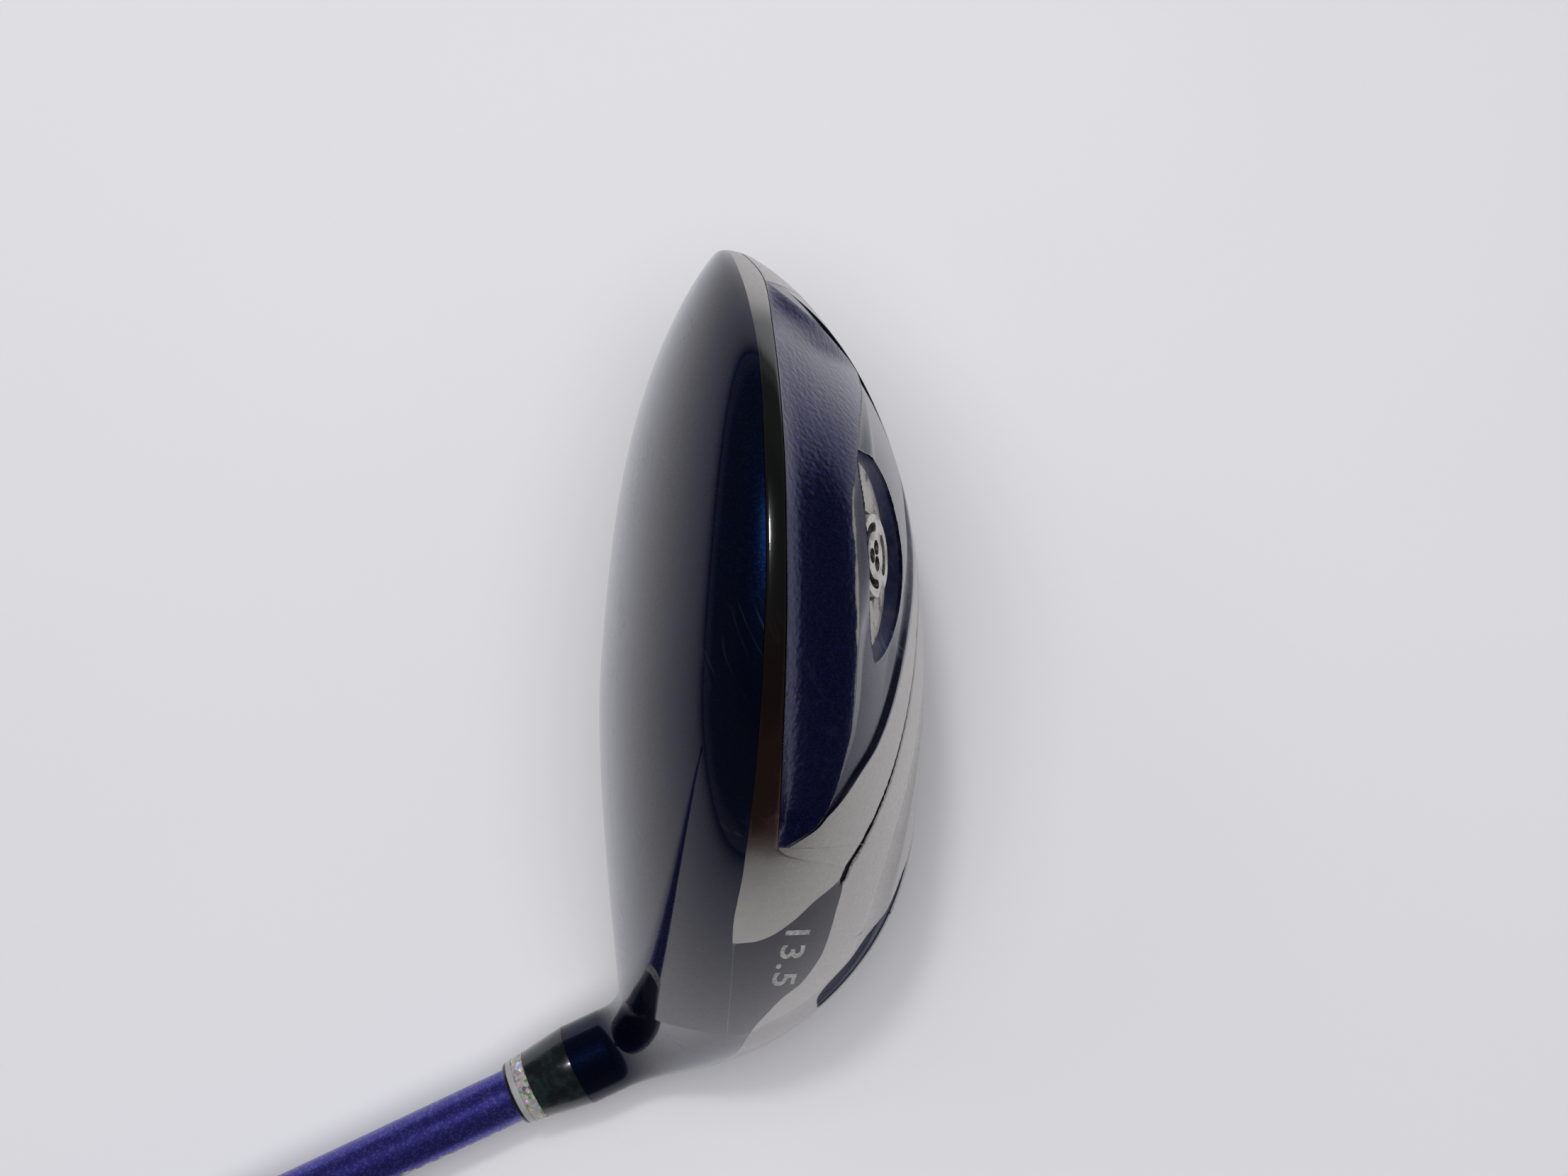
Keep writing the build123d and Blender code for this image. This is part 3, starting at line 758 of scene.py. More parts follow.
# ---- Round pieces along the shaft ----
def turned(name, profile, sides=96, relief=None):
    """A mesh turned about the shaft axis from (x, radius) points, in millimetres."""
    profile = np.array(profile, float)
    angle = np.linspace(0, 2 * math.pi, sides + 1)
    x = np.repeat(profile[:, 0:1], sides + 1, axis=1)
    radius = np.repeat(profile[:, 1:2], sides + 1, axis=1)
    if relief is not None:
        radius = radius + relief(x, np.broadcast_to(angle, x.shape))
    points = np.stack([x, radius * np.cos(angle), radius * np.sin(angle)], axis=-1)
    index = np.arange(points.shape[0] * sides).reshape(-1, sides)
    after = np.roll(index, -1, axis=1)
    faces = np.stack([index[:-1], after[:-1], after[1:], index[1:]], axis=-1).reshape(-1, 4)
    mesh = bpy.data.meshes.new(name)
    mesh.from_pydata((points[:, :-1].reshape(-1, 3) * MM).tolist(), [], faces.tolist())
    mesh.polygons.foreach_set("use_smooth", np.ones(len(mesh.polygons), bool))
    mesh.update()
    obj = bpy.data.objects.new(name, mesh)
    bpy.context.scene.collection.objects.link(obj)
    return obj


FERRULE_START = CLUB_LENGTH - HOSEL_TOP
FERRULE = (("ferrule_body", 7.5, "ferrule_black"), ("ferrule_glitter_ring", 2.0, "ferrule_glitter"),
           ("ferrule_light_ring", 1.1, "ferrule_light"), ("ferrule_end_ring", 0.5, "ferrule_black"))
FERRULE_END_RADIUS = 5.1
SHAFT_RADIUS = 4.3


def ring_profile(x_high, length, radius_high, radius_low):
    """Outside of one ferrule ring with eased edges, closed down to the shaft."""
    ease = min(0.12, length / 5)
    bulge = 0.04 if length > 1.5 else 0.0
    middle = (radius_high + radius_low) / 2
    x_low = x_high - length
    small = ease * 0.3
    inner = SHAFT_RADIUS + 0.02
    return ((x_high, inner), (x_high, radius_high - ease), (x_high - small, radius_high - small),
            (x_high - ease, radius_high), (x_high - length / 2, middle + bulge),
            (x_low + ease, radius_low), (x_low + small, radius_low - small),
            (x_low, radius_low - ease), (x_low, inner))


rings = {}
ring_x = FERRULE_START
ferrule_length = sum(part[1] for part in FERRULE)
for name, length, slot_name in FERRULE:
    radii = []
    for x in (ring_x, ring_x - length):
        share = (FERRULE_START - x) / ferrule_length
        radii.append(HOSEL_RADIUS + (FERRULE_END_RADIUS - HOSEL_RADIUS) * share)
    ring = turned(name + "_skin", ring_profile(ring_x, length, radii[0], radii[1]))
    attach(ring, ROOT)
    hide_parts(name)
    rings[name] = ring
    ring_x -= length

GRIP_START = 4.0
GRIP_END = 268.0
GRIP_BUTT = 13.2
GRIP_MOUTH = 8.9


def grip_radius(x):
    share = span((x - GRIP_START) / (GRIP_END - GRIP_START))
    return GRIP_BUTT + (GRIP_MOUTH - GRIP_BUTT) * share ** 0.92 - 0.25


def grip_relief(x, angle):
    """Rows of small lozenge pits with plain bands at the ends, where thin rings are cut."""
    pitch = 4.4
    columns = 14
    row = x / pitch
    across = angle * columns / (2 * math.pi)
    a = np.abs(((row + across) % 1) - 0.5)
    b = np.abs(((row - across) % 1) - 0.5)
    pit = smooth_step((np.minimum(a, b) - 0.10) / 0.10)
    region = smooth_step((x - 26) / 2) * smooth_step((236 - x) / 2)
    rings_cut = np.zeros_like(x)
    for place in (14, 18, 22, 240, 246, 252, 258):
        rings_cut += np.exp(-(((x - place) / 0.55) ** 2))
    return -0.42 * (1 - pit) * region - 0.45 * span(rings_cut)


grip_x = np.linspace(GRIP_START, GRIP_END - 0.8, 560)
grip_profile = [(GRIP_START, 8.2), (GRIP_START, GRIP_BUTT - 0.7)]
grip_profile += [(x, float(grip_radius(x))) for x in grip_x[1:]]
grip_profile += [(GRIP_END - 0.2, GRIP_MOUTH - 0.45), (GRIP_END, GRIP_MOUTH - 0.9), (GRIP_END, 7.2)]
grip = turned("grip_skin", grip_profile, 220, grip_relief)
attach(grip, ROOT)
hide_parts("grip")
cap_profile = ((3.98, 1.6), (0.4, 1.6), (0.05, 1.9), (0.0, 2.4), (0.0, 4.6), (0.35, 5.0), (0.35, 7.2),
               (0.0, 7.6), (0.0, 11.2), (0.15, 12.2), (0.6, 13.1), (1.2, 13.7), (1.9, 13.98), (2.6, 13.98),
               (3.2, 13.7), (3.8, 13.2), (4.0, 12.7), (4.0, 8.0))
cap = turned("grip_cap_skin", cap_profile, 128)
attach(cap, ROOT)
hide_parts("grip_cap")


# ---- Materials ----
class Paint:
    """Builds one procedural material around a Principled shader."""

    def __init__(self, name, **settings):
        self.material = bpy.data.materials.new(name)
        self.material.use_nodes = True
        self.tree = self.material.node_tree
        self.tree.nodes.clear()
        self.shader = self.add("ShaderNodeBsdfPrincipled")
        output = self.add("ShaderNodeOutputMaterial")
        self.link(self.shader.outputs["BSDF"], output.inputs["Surface"])
        self.place = self.add("ShaderNodeTexCoord").outputs["Object"]
        for key, value in settings.items():
            self.shader.inputs[key.replace("_", " ")].default_value = value

    def add(self, kind, **values):
        node = self.tree.nodes.new(kind)
        for key, value in values.items():
            setattr(node, key, value)
        return node

    def link(self, source, target):
        self.tree.links.new(source, target)

    def feed(self, target, value):
        if isinstance(value, (int, float, tuple)):
            target.default_value = value
        else:
            self.link(value, target)

    def noise(self, scale, detail=4.0, rough=0.55, where=None, distortion=0.0):
        node = self.add("ShaderNodeTexNoise")
        node.inputs["Scale"].default_value = scale
        node.inputs["Detail"].default_value = detail
        node.inputs["Roughness"].default_value = rough
        node.inputs["Distortion"].default_value = distortion
        self.link(where or self.place, node.inputs["Vector"])
        return node.outputs["Fac"]

    def cells(self, scale, output="Distance", feature="F1", where=None):
        node = self.add("ShaderNodeTexVoronoi", feature=feature)
        node.inputs["Scale"].default_value = scale
        self.link(where or self.place, node.inputs["Vector"])
        return node.outputs[output]

    def sum(self, kind, a, b=0.0, c=0.0):
        node = self.add("ShaderNodeMath", operation=kind)
        for slot, value in zip(node.inputs, (a, b, c)):
            self.feed(slot, value)
        return node.outputs[0]

    def plus(self, a, b):
        return self.sum("ADD", a, b)

    def minus(self, a, b):
        return self.sum("SUBTRACT", a, b)

    def times(self, a, b):
        return self.sum("MULTIPLY", a, b)

    def remap(self, value, low, high, to_low=0.0, to_high=1.0, smooth=True):
        node = self.add("ShaderNodeMapRange")
        node.interpolation_type = "SMOOTHSTEP" if smooth else "LINEAR"
        for key, number in (("From Min", low), ("From Max", high), ("To Min", to_low), ("To Max", to_high)):
            node.inputs[key].default_value = number
        self.feed(node.inputs["Value"], value)
        return node.outputs["Result"]

    def mix(self, share, a, b):
        node = self.add("ShaderNodeMix", data_type="RGBA")
        self.feed(node.inputs["Factor"], share)
        for slot, value in ((node.inputs[6], a), (node.inputs[7], b)):
            self.feed(slot, (*value, 1.0) if isinstance(value, tuple) and len(value) == 3 else value)
        return node.outputs[2]

    def blend(self, share, a, b):
        node = self.add("ShaderNodeMix", data_type="FLOAT")
        self.feed(node.inputs["Factor"], share)
        self.feed(node.inputs["A"], a)
        self.feed(node.inputs["B"], b)
        return node.outputs["Result"]

    def field(self, name):
        node = self.add("ShaderNodeAttribute", attribute_name=name)
        return node.outputs["Fac"]

    def stretched(self, scale, turn=(0.0, 0.0, 0.0)):
        node = self.add("ShaderNodeMapping")
        node.inputs["Scale"].default_value = scale
        node.inputs["Rotation"].default_value = turn
        self.link(self.place, node.inputs["Vector"])
        return node.outputs["Vector"]

    def bump(self, height, strength, depth, before=None):
        node = self.add("ShaderNodeBump")
        node.inputs["Strength"].default_value = strength
        node.inputs["Distance"].default_value = depth
        self.link(height, node.inputs["Height"])
        if before is not None:
            self.link(before, node.inputs["Normal"])
        return node.outputs["Normal"]

    def set(self, key, value):
        self.feed(self.shader.inputs[key], value)

    def scratches(self, turn, scale=260.0, thin=0.035):
        """Fine broken lines, 1 on a scratch."""
        where = self.stretched((1.0, 0.06, 1.0), turn)
        wander = self.noise(scale, 2.0, 0.5, where)
        line = self.sum("ABSOLUTE", self.minus(wander, 0.5))
        thin_line = self.remap(line, 0.0, thin, 1.0, 0.0)
        patches = self.remap(self.noise(55.0, 3.0, 0.6), 0.56, 0.66)
        return self.times(thin_line, patches)


NAVY = (0.0012, 0.0045, 0.024)
NAVY_FLAKE = (0.003, 0.024, 0.110)
SILVER = (0.43, 0.412, 0.392)


def lay_navy(paint):
    """Colour of the navy flake paint."""
    flake = paint.cells(5200.0, "Color")
    bright = paint.add("ShaderNodeSeparateColor")
    paint.link(flake, bright.inputs[0])
    spark = paint.remap(bright.outputs[0], 0.55, 1.0)
    cloud = paint.remap(paint.noise(60.0, 3.0), 0.3, 0.7, 0.25, 0.55)
    share = paint.times(spark, cloud)
    colour = paint.mix(share, NAVY, NAVY_FLAKE)
    return colour


def lay_silver(paint):
    """Satin cast metal: faint clouds, fine grain and light smudges."""
    cloud = paint.remap(paint.noise(45.0, 5.0, 0.6), 0.3, 0.7)
    grain = paint.noise(2600.0, 3.0, 0.6, paint.stretched((1.0, 0.12, 1.0), (0.0, 0.0, 0.4)))
    colour = paint.mix(cloud, (SILVER[0] * 0.93, SILVER[1] * 0.93, SILVER[2] * 0.93), SILVER)
    speck = paint.remap(paint.noise(900.0, 4.0, 0.7), 0.70, 0.76)
    dirt = paint.times(speck, paint.remap(paint.noise(70.0, 3.0), 0.52, 0.62))
    colour = paint.mix(paint.times(dirt, 0.25), colour, (0.16, 0.15, 0.13))
    rough = paint.plus(paint.remap(grain, 0.3, 0.7, 0.24, 0.34), paint.times(cloud, 0.05))
    return colour, rough, grain, dirt


def below(paint, field, at, soft=0.03):
    """1 where a distance field is below a value, with a crisp edge."""
    return paint.remap(paint.field(field), at - soft, at + soft, 1.0, 0.0)


def head_material(name, with_silver):
    """Navy paint, silver below its edge where asked, with painted shade on the silver beyond the facet
    line, and the bare metal of the face.
    """
    paint = Paint(name, Coat_Weight=1.0, Coat_Roughness=0.03, Coat_IOR=1.42)
    colour = lay_navy(paint)
    silver_colour, silver_rough, grain, dirt = lay_silver(paint)
    long_marks = paint.scratches((0.2, 0.1, 0.6))
    marks = paint.sum("MAXIMUM", long_marks, paint.scratches((0.5, 0.3, -0.9), 310.0, 0.03))
    face = paint.remap(paint.field("face_gap"), -0.95, -0.90)
    brushed = paint.stretched((0.05, 1.0, 1.0), (0.0, 0.0, -LIE))
    face_grain = paint.noise(3000.0, 3.0, 0.6, brushed)
    metal = face
    if with_silver:
        wander = paint.times(paint.minus(paint.noise(900.0, 3.0), 0.5), 0.10)
        gap = paint.plus(paint.field("paint_gap"), wander)
        bare = paint.remap(gap, -0.03, 0.03, 1.0, 0.0)
        line = paint.times(paint.remap(gap, 0.02, 0.10, 1.0, 0.0), paint.minus(1.0, bare))
        channel = paint.sum("MAXIMUM", below(paint, "channel_gap", 0.0), below(paint, "groove_gap", 0.0))
        bare = paint.times(bare, paint.minus(1.0, channel))
        metal = paint.sum("MAXIMUM", face, bare)
        colour = paint.mix(line, colour, (0.01, 0.01, 0.012))
        colour = paint.mix(channel, colour, (0.0008, 0.0015, 0.009))
        # Painted shade: the silver past the facet line is darkened to stand in for the facet's duller
        # reflection.
        beyond = paint.times(paint.remap(paint.field("facet_gap"), -0.15, 0.15), 0.45)
        silver_colour = paint.mix(beyond, silver_colour, (0.16, 0.15, 0.145))
    colour = paint.mix(metal, colour, silver_colour)
    face_tone = paint.remap(face_grain, 0.3, 0.7, 0.20, 0.34)
    tone = paint.add("ShaderNodeCombineColor")
    for slot in tone.inputs[:3]:
        paint.link(face_tone, slot)
    colour = paint.mix(face, colour, tone.outputs[0])
    paint.set("Base Color", paint.mix(paint.times(marks, 0.10), colour, (0.30, 0.32, 0.38)))
    paint.set("Metallic", paint.blend(metal, 0.88, 1.0))
    paint.set("Specular Tint", paint.mix(metal, (0.10, 0.16, 0.34), (1.0, 1.0, 1.0)))
    navy_rough = paint.plus(0.34, paint.times(marks, 0.2))
    paint.set("Roughness", paint.blend(metal, navy_rough, silver_rough))
    coat = paint.blend(metal, 0.85, 0.10)
    if with_silver:
        coat = paint.times(coat, paint.sum("MULTIPLY_ADD", channel, -0.9, 1.0))
    paint.set("Coat Weight", coat)
    height = paint.plus(paint.times(grain, metal), paint.times(marks, -1.5))
    paint.set("Normal", paint.bump(height, 0.12, 0.00003))
    return paint.material


def panel_material(name, textured):
    """Violet-navy pearl; the hollow zone has a hammered texture and chips along its crest."""
    rough = 0.16 if textured else 0.20
    paint = Paint(name, Coat_Roughness=rough, Coat_IOR=1.5)
    spark = paint.add("ShaderNodeSeparateColor")
    paint.link(paint.cells(9000.0, "Color"), spark.inputs[0])
    flake = paint.remap(spark.outputs[1], 0.55, 1.0)
    # The smooth zone's greyer, less blue tones stand partly for its worn satin paint and partly for a
    # painted grey reflection of its clear coat.
    low_tone = (0.005, 0.007, 0.045) if textured else (0.018, 0.020, 0.042)
    high_tone = (0.036, 0.046, 0.26) if textured else (0.060, 0.066, 0.130)
    colour = paint.mix(paint.times(flake, 0.6), low_tone, high_tone)
    crest = paint.field("crest_gap")
    ragged = paint.noise(520.0, 5.0, 0.7)
    wide = paint.noise(95.0, 2.0, 0.5)
    reach = paint.times(paint.remap(wide, 0.40, 0.72), 0.42 if textured else 0.16)
    reach = paint.plus(reach, 0.02)
    gap = paint.plus(crest, paint.times(paint.minus(ragged, 0.5), 0.60))
    ends = paint.minus(gap, reach)
    chip = paint.remap(ends, -0.05, 0.03, 1.0, 0.0)
    core = paint.remap(ends, -0.16, -0.08, 1.0, 0.0)
    primer = paint.mix(paint.noise(1400.0, 4.0), (0.10, 0.10, 0.105), (0.24, 0.235, 0.225))
    shown = paint.mix(core, primer, (0.36, 0.345, 0.32))
    marks = paint.scratches((0.1, 0.4, 1.0), 420.0, 0.05)
    colour = paint.mix(paint.times(marks, 0.05 if textured else 0.25), colour, (0.30, 0.31, 0.36))
    paint.set("Base Color", paint.mix(chip, colour, shown))
    paint.set("Metallic", paint.blend(chip, 0.85, 0.45))
    paint.set("Roughness", paint.blend(chip, 0.34 if textured else 0.30, 0.55))
    paint.set("Coat Weight", paint.blend(chip, 0.5, 0.0))
    chip_height = paint.times(chip, -1.0)
    base = paint.bump(chip_height, 0.6, 0.00012)
    if textured:
        pebbles = paint.minus(1.0, paint.cells(1500.0, "Distance", "SMOOTH_F1"))
        ripple = paint.noise(1100.0, 3.0, 0.5)
        texture = paint.plus(pebbles, paint.times(ripple, 1.2))
        normal = paint.bump(texture, 0.45, 0.00013, base)
    else:
        ripple = paint.noise(700.0, 2.0, 0.5, paint.stretched((1.0, 1.0, 0.25)))
        height = paint.plus(paint.times(ripple, 0.5), paint.times(marks, -0.7))
        normal = paint.bump(height, 0.28, 0.00008, base)
    paint.set("Normal", normal)
    paint.set("Coat Normal", normal)
    return paint.material


def metal_material(name, colour, rough, grime):
    """Worn bare metal: clouds, fine grain, scratches and, by the grime share, dark stains."""
    paint = Paint(name, Metallic=1.0)
    cloud = paint.noise(160.0, 5.0, 0.6)
    grain = paint.noise(3200.0, 3.0, 0.6, paint.stretched((1.0, 0.15, 1.0), (0.3, 0.0, 0.6)))
    dark = tuple(v * 0.80 for v in colour)
    tone = paint.mix(paint.remap(cloud, 0.3, 0.7), dark, colour)
    stain = paint.times(paint.remap(paint.noise(420.0, 6.0, 0.7), 0.48, 0.66), grime)
    tone = paint.mix(stain, tone, (0.055, 0.045, 0.035))
    marks = paint.scratches((0.3, 0.2, 0.3), 500.0, 0.05)
    paint.set("Base Color", paint.mix(paint.times(marks, 0.4), tone, (0.8, 0.78, 0.75)))
    paint.set("Metallic", paint.blend(stain, 1.0, 0.3))
    rough_value = paint.remap(grain, 0.3, 0.7, rough * 0.85, rough * 1.2)
    paint.set("Roughness", paint.plus(rough_value, paint.times(stain, 0.35)))
    height = paint.minus(grain, marks)
    paint.set("Normal", paint.bump(height, 0.15, 0.00004))
    return paint.material


def band_material(name):
    """Polished band that turns to the sole's satin metal in its hook and ends in navy paint; its polished
    stretch carries a painted dark reflection, reddish toward the heel.
    """
    paint = Paint(name, Coat_Roughness=0.03, Coat_IOR=1.42)
    silver, rough, grain, _ = lay_silver(paint)
    navy = lay_navy(paint)
    along = paint.field("toe_place")
    wander = paint.times(paint.minus(paint.noise(120.0, 3.0), 0.5), 3.0)
    place = paint.plus(along, wander)
    satin = paint.sum("MAXIMUM", paint.remap(place, 15.5, 21.0, 1.0, 0.0), paint.remap(place, 82.0, 88.0))
    painted = paint.remap(along, 3.7, 3.8, 1.0, 0.0)
    # Painted reflection: the polished stretch is coloured dark grey, shading to dark reddish toward the
    # heel, for the dark reflections of the room.
    uneven = paint.plus(place, paint.times(paint.noise(90.0, 4.0), 16.0))
    reddish_reflection_share = paint.remap(uneven, 38.0, 62.0, 1.0, 0.0)
    polished = paint.mix(reddish_reflection_share, (0.135, 0.140, 0.135), (0.160, 0.095, 0.080))
    marks = paint.scratches((0.3, 0.2, 0.3), 500.0, 0.04)
    polished = paint.mix(paint.times(marks, 0.15), polished, (0.45, 0.43, 0.41))
    colour = paint.mix(satin, polished, silver)
    paint.set("Base Color", paint.mix(painted, colour, navy))
    paint.set("Metallic", paint.blend(painted, 1.0, 0.88))
    paint.set("Roughness", paint.blend(satin, 0.14, rough))
    paint.set("Coat Weight", paint.blend(painted, 0.0, 0.85))
    paint.set("Normal", paint.bump(grain, 0.08, 0.00003))
    return paint.material


def ferrule_material(name, kind):
    paint = Paint(name, Coat_Weight=0.6, Coat_Roughness=0.05, Coat_IOR=1.5)
    speck = paint.remap(paint.noise(5200.0, 3.0, 0.7), 0.60, 0.72)
    if kind == "black":
        cloud = paint.remap(paint.noise(420.0, 5.0, 0.65), 0.42, 0.70)
        base = paint.mix(cloud, (0.0035, 0.0055, 0.006), (0.010, 0.018, 0.019))
        colour = paint.mix(paint.times(speck, 0.35), base, (0.03, 0.045, 0.045))
        paint.set("Roughness", paint.remap(cloud, 0.0, 1.0, 0.22, 0.34))
    elif kind == "glitter":
        seed = paint.cells(1900.0, "Color")
        parts = paint.add("ShaderNodeSeparateColor")
        paint.link(seed, parts.inputs[0])
        hue = paint.add("ShaderNodeCombineColor", mode="HSV")
        paint.link(parts.outputs[0], hue.inputs[0])
        hue.inputs[1].default_value = 0.62
        hue.inputs[2].default_value = 0.95
        lit = paint.remap(parts.outputs[1], 0.72, 0.80)
        base = paint.mix(paint.noise(900.0, 4.0), (0.24, 0.24, 0.215), (0.42, 0.415, 0.385))
        colour = paint.mix(lit, base, hue.outputs[0])
        paint.set("Metallic", paint.times(lit, 0.85))
        tilt = paint.add("ShaderNodeVectorMath", operation="SUBTRACT")
        paint.link(seed, tilt.inputs[0])
        tilt.inputs[1].default_value = (0.5, 0.5, 0.5)
        small = paint.add("ShaderNodeVectorMath", operation="SCALE")
        paint.link(tilt.outputs[0], small.inputs[0])
        small.inputs["Scale"].default_value = 0.9
        facing = paint.add("ShaderNodeNewGeometry").outputs["Normal"]
        turned_facet = paint.add("ShaderNodeVectorMath", operation="ADD")
        paint.link(facing, turned_facet.inputs[0])
        paint.link(small.outputs[0], turned_facet.inputs[1])
        paint.set("Normal", turned_facet.outputs[0])
        paint.set("Roughness", 0.22)
    else:
        cloud = paint.noise(700.0, 4.0)
        colour = paint.mix(cloud, (0.30, 0.30, 0.31), (0.36, 0.36, 0.37))
        colour = paint.mix(paint.times(speck, 0.3), colour, (0.15, 0.14, 0.13))
        paint.set("Roughness", paint.remap(cloud, 0.3, 0.7, 0.22, 0.34))
    paint.set("Base Color", colour)
    return paint.material


def shaft_material(name):
    """Violet-blue satin pearl with a pale marbled pattern along one side near the tip."""
    paint = Paint(name, Coat_Weight=0.35, Coat_Roughness=0.22, Coat_IOR=1.5)
    parts = paint.add("ShaderNodeSeparateXYZ")
    paint.link(paint.place, parts.inputs[0])
    x, y, z = parts.outputs
    flake = paint.add("ShaderNodeSeparateColor")
    paint.link(paint.cells(3600.0, "Color"), flake.inputs[0])
    spark = paint.remap(flake.outputs[0], 0.5, 1.0)
    colour = paint.mix(paint.times(spark, 0.6), (0.050, 0.045, 0.30), (0.15, 0.14, 0.62))
    radius = paint.sum("SQRT", paint.plus(paint.times(y, y), paint.times(z, z)))
    side = paint.sum("DIVIDE", paint.times(y, -1.0), radius)
    back = paint.minus(1.0532, x)
    climb = paint.remap(back, 0.0, 0.055, 0.86, 0.50, smooth=False)
    fade = paint.remap(back, 0.28, 0.30, 0.0, 0.8)
    ragged = paint.times(paint.minus(paint.noise(420.0, 5.0, 0.7), 0.5), 0.50)
    lacy = paint.times(paint.remap(paint.cells(520.0), 0.0, 0.6), 0.12)
    inside = paint.minus(paint.minus(side, climb), paint.plus(fade, lacy))
    inside = paint.plus(inside, ragged)
    pattern = paint.remap(inside, 0.0, 0.03)
    fringe = paint.times(paint.remap(inside, -0.05, 0.0), paint.remap(inside, 0.02, 0.16, 1.0, 0.0))
    marble = paint.remap(paint.noise(300.0, 6.0, 0.7, distortion=0.6), 0.35, 0.65)
    pale = paint.mix(marble, (0.30, 0.26, 0.27), (0.58, 0.55, 0.55))
    vein = paint.remap(paint.cells(430.0, feature="DISTANCE_TO_EDGE"), 0.0, 0.06, 1.0, 0.0)
    pale = paint.mix(paint.times(vein, 0.5), pale, (0.12, 0.09, 0.10))
    pale = paint.mix(paint.times(fringe, paint.remap(paint.noise(800.0, 3.0), 0.42, 0.52)), pale,
                     (0.035, 0.03, 0.04))
    colour = paint.mix(pattern, colour, pale)
    marks = paint.scratches((0.0, 0.2, 0.3), 300.0, 0.03)
    paint.set("Base Color", paint.mix(paint.times(marks, 0.2), colour, (0.5, 0.5, 0.6)))
    paint.set("Metallic", paint.blend(pattern, 0.85, 0.25))
    grain = paint.noise(2600.0, 3.0, 0.6)
    paint.set("Roughness", paint.remap(grain, 0.3, 0.7, 0.33, 0.42))
    paint.set("Normal", paint.bump(grain, 0.25, 0.00006))
    return paint.material


def rubber_material(name):
    paint = Paint(name)
    wear = paint.remap(paint.noise(60.0, 5.0, 0.65), 0.45, 0.70)
    dust = paint.remap(paint.noise(1500.0, 4.0, 0.7), 0.58, 0.70)
    base = paint.mix(wear, (0.010, 0.011, 0.016), (0.026, 0.027, 0.034))
    paint.set("Base Color", paint.mix(paint.times(dust, 0.3), base, (0.09, 0.09, 0.10)))
    paint.set("Roughness", paint.remap(wear, 0.0, 1.0, 0.62, 0.48))
    paint.set("Normal", paint.bump(paint.noise(3000.0, 4.0, 0.6), 0.35, 0.0001))
    return paint.material


def plain_material(name, dark, light, rough, scale=400.0):
    """Cloudy colour between two tones with a fine grain, for inner pieces."""
    paint = Paint(name)
    cloud = paint.remap(paint.noise(scale, 5.0, 0.6), 0.35, 0.65)
    paint.set("Base Color", paint.mix(cloud, dark, light))
    paint.set("Roughness", paint.remap(cloud, 0.0, 1.0, rough, rough * 0.75))
    paint.set("Normal", paint.bump(paint.noise(scale * 4, 3.0), 0.3, 0.0001))
    return paint.material


def number_material(name):
    paint = Paint(name, Metallic=0.35)
    worn = paint.remap(paint.noise(1500.0, 5.0, 0.7), 0.45, 0.60)
    paint.set("Base Color", paint.mix(worn, (0.52, 0.51, 0.49), (0.30, 0.30, 0.30)))
    paint.set("Roughness", paint.remap(worn, 0.0, 1.0, 0.42, 0.6))
    return paint.material


def dress(obj, material):
    obj.data.materials.clear()
    obj.data.materials.append(material)


def dress_node(name, material):
    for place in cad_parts[name].material_slots:
        place.material = material


navy_paint = head_material("crown_paint", False)
body_paint = head_material("body_paint", True)
for part in (crown, crown_face):
    dress(part, navy_paint)
for part in (sole, sole_face, heel):
    dress(part, body_paint)
dress(band, band_material("band_metal"))
dress(scooped, panel_material("panel_hammered", True))
dress(smooth_zone, panel_material("panel_smooth", False))
dress(port_wall, metal_material("port_wall_metal", (0.012, 0.016, 0.060), 0.3, 0.3))
dress(port_floor, metal_material("port_floor_metal", (0.46, 0.44, 0.40), 0.32, 0.9))
dress(number, number_material("number_print"))
dress(score_lines, plain_material("score_dark", (0.01, 0.01, 0.012), (0.04, 0.04, 0.045), 0.5, 900.0))
dress(rings["ferrule_body"], ferrule_material("ferrule_black", "black"))
dress(rings["ferrule_end_ring"], rings["ferrule_body"].data.materials[0])
dress(rings["ferrule_glitter_ring"], ferrule_material("ferrule_glitter", "glitter"))
dress(rings["ferrule_light_ring"], ferrule_material("ferrule_light", "light"))
rubber = rubber_material("grip_rubber")
dress(grip, rubber)
dress(cap, rubber)
dress_node("shaft", shaft_material("shaft_pearl"))
dress_node("weight_screw", metal_material("screw_metal", (0.60, 0.58, 0.54), 0.28, 0.55))
nylon = plain_material("washer_nylon", (0.30, 0.29, 0.26), (0.50, 0.49, 0.45), 0.5, 900.0)
dress_node("weight_washer", nylon)
dress_node("hosel_epoxy", plain_material("epoxy", (0.45, 0.36, 0.16), (0.62, 0.52, 0.28), 0.35))
dress_node("tip_plug", plain_material("plug", (0.30, 0.24, 0.16), (0.45, 0.38, 0.28), 0.7))
dress_node("grip_tape", plain_material("tape", (0.42, 0.37, 0.26), (0.62, 0.56, 0.42), 0.7, 250.0))
dress_node("sole_ribs", metal_material("rib_metal", (0.42, 0.40, 0.38), 0.4, 0.3))
dress_node("hot_melt_pad", plain_material("hot_melt", (0.55, 0.42, 0.18), (0.72, 0.60, 0.34), 0.4))


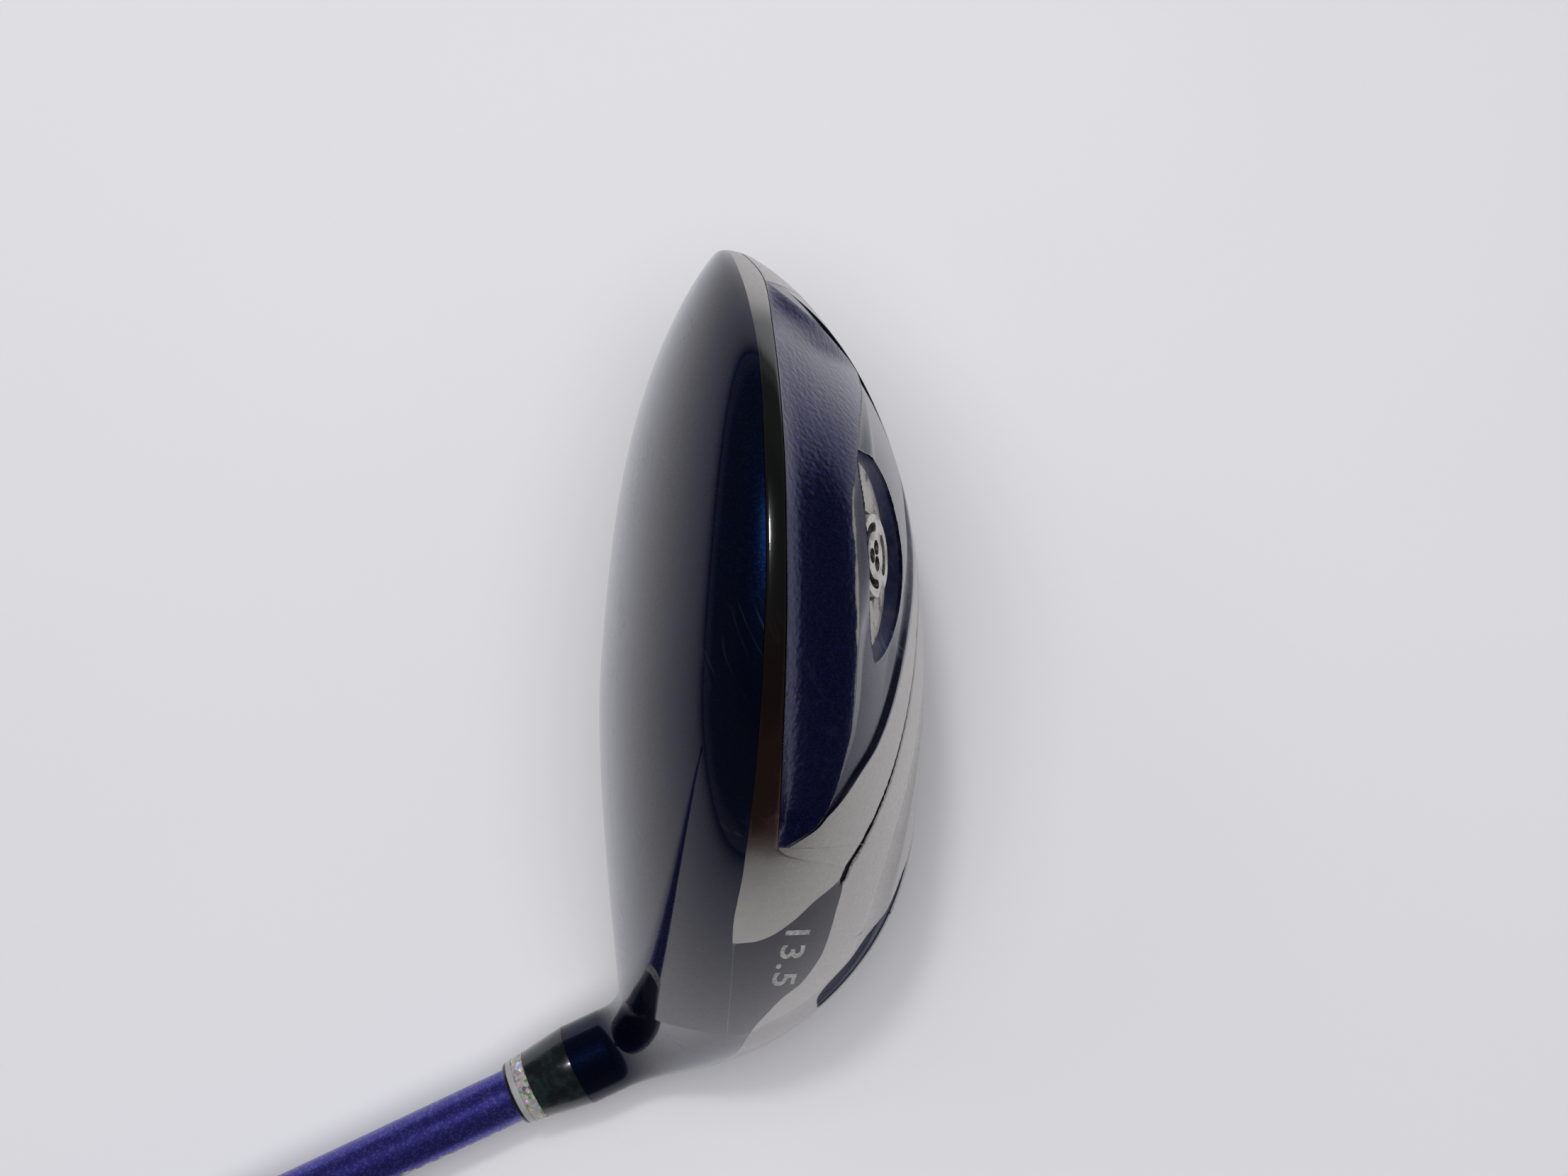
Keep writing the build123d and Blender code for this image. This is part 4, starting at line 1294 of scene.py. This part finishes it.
# ---- Floor, light and camera ----
def add_floor():
    size = 4.0
    corners = ((-size, -size), (size, -size), (size, size), (-size, size))
    mesh = bpy.data.meshes.new("floor")
    mesh.from_pydata([(x + 0.6, y, FLOOR_Z * MM) for x, y in corners], [], [(0, 1, 2, 3)])
    floor = bpy.data.objects.new("floor", mesh)
    bpy.context.scene.collection.objects.link(floor)
    paint = Paint("floor_paper")
    cloud = paint.remap(paint.noise(3.0, 4.0), 0.3, 0.7)
    fine = paint.noise(240.0, 5.0, 0.6)
    paint.set("Base Color", paint.mix(cloud, (0.735, 0.730, 0.765), (0.765, 0.760, 0.795)))
    paint.set("Roughness", 0.75)
    paint.set("Normal", paint.bump(fine, 0.12, 0.0003))
    dress(floor, paint.material)
    return floor


def add_world():
    world = bpy.data.worlds.new("studio")
    bpy.context.scene.world = world
    world.use_nodes = True
    tree = world.node_tree
    tree.nodes.clear()
    place = tree.nodes.new("ShaderNodeTexCoord")
    parts = tree.nodes.new("ShaderNodeSeparateXYZ")
    tree.links.new(place.outputs["Generated"], parts.inputs[0])
    wobble = tree.nodes.new("ShaderNodeTexNoise")
    wobble.inputs["Scale"].default_value = 2.2
    wobble.inputs["Detail"].default_value = 2.0
    tree.links.new(place.outputs["Generated"], wobble.inputs["Vector"])
    lift = tree.nodes.new("ShaderNodeMath")
    lift.operation = "MULTIPLY_ADD"
    tree.links.new(wobble.outputs["Fac"], lift.inputs[0])
    lift.inputs[1].default_value = 0.16
    tree.links.new(parts.outputs["Z"], lift.inputs[2])
    ramp = tree.nodes.new("ShaderNodeValToRGB")
    ramp.color_ramp.interpolation = "LINEAR"
    stops = ((0.0, WORLD_LOW), (0.12, WORLD_LOW), (0.20, WORLD_MIDDLE), (0.62, WORLD_MIDDLE),
             (0.80, WORLD_TOP))
    while len(ramp.color_ramp.elements) < len(stops):
        ramp.color_ramp.elements.new(0.5)
    for element, (position, value) in zip(ramp.color_ramp.elements, stops):
        element.position = position
        element.color = (value * 0.985, value * 0.985, value * 1.03, 1.0)
    tree.links.new(lift.outputs[0], ramp.inputs["Fac"])
    background = tree.nodes.new("ShaderNodeBackground")
    tree.links.new(ramp.outputs["Color"], background.inputs["Color"])
    output = tree.nodes.new("ShaderNodeOutputWorld")
    tree.links.new(background.outputs["Background"], output.inputs["Surface"])


WORLD_LOW = 0.15
WORLD_MIDDLE = 0.06
WORLD_TOP = 0.04
HEAD_PLACE = (1.123, 0.055, 0.03)


def add_light(name, place, size, power, mirrored=True):
    """A round light aimed at the head; gloss shows it only if it is mirrored."""
    light = bpy.data.lights.new(name, "AREA")
    light.shape = "DISK"
    light.size = size
    light.energy = power
    obj = bpy.data.objects.new(name, light)
    obj.location = place
    obj.visible_glossy = mirrored
    away = Vector(place) - Vector(HEAD_PLACE)
    obj.rotation_euler = away.to_track_quat("Z", "Y").to_euler()
    bpy.context.scene.collection.objects.link(obj)
    return obj


CAMERA_TURN = math.radians(-25.2)


def picture_place(right, up, height):
    """A place over the head given along the picture's right and up directions, in metres."""
    c = math.cos(CAMERA_TURN)
    s = math.sin(CAMERA_TURN)
    return (CAMERA_PLACE[0] + right * c - up * s, CAMERA_PLACE[1] + right * s + up * c, height)


CAMERA_PLACE = (1.12303, 0.05482, 0.34276)


def add_camera():
    data = bpy.data.cameras.new("camera")
    data.lens = 49.3
    data.sensor_width = 36.0
    data.clip_start = 0.01
    data.clip_end = 50.0
    camera = bpy.data.objects.new("camera", data)
    camera.location = CAMERA_PLACE
    camera.rotation_euler = (0.0, 0.0, CAMERA_TURN)
    bpy.context.scene.collection.objects.link(camera)
    bpy.context.scene.camera = camera


add_floor()
add_world()
add_light("overhead", picture_place(-0.02, 0.14, 1.3), 1.0, 14.0, mirrored=False)
add_light("window", picture_place(-1.1, 0.7, 1.3), 1.0, 2.5, mirrored=False)
add_light("lamp", picture_place(-0.10, 0.28, 0.9), 0.08, 1.6)
add_camera()
bpy.context.scene.view_settings.view_transform = "Standard"
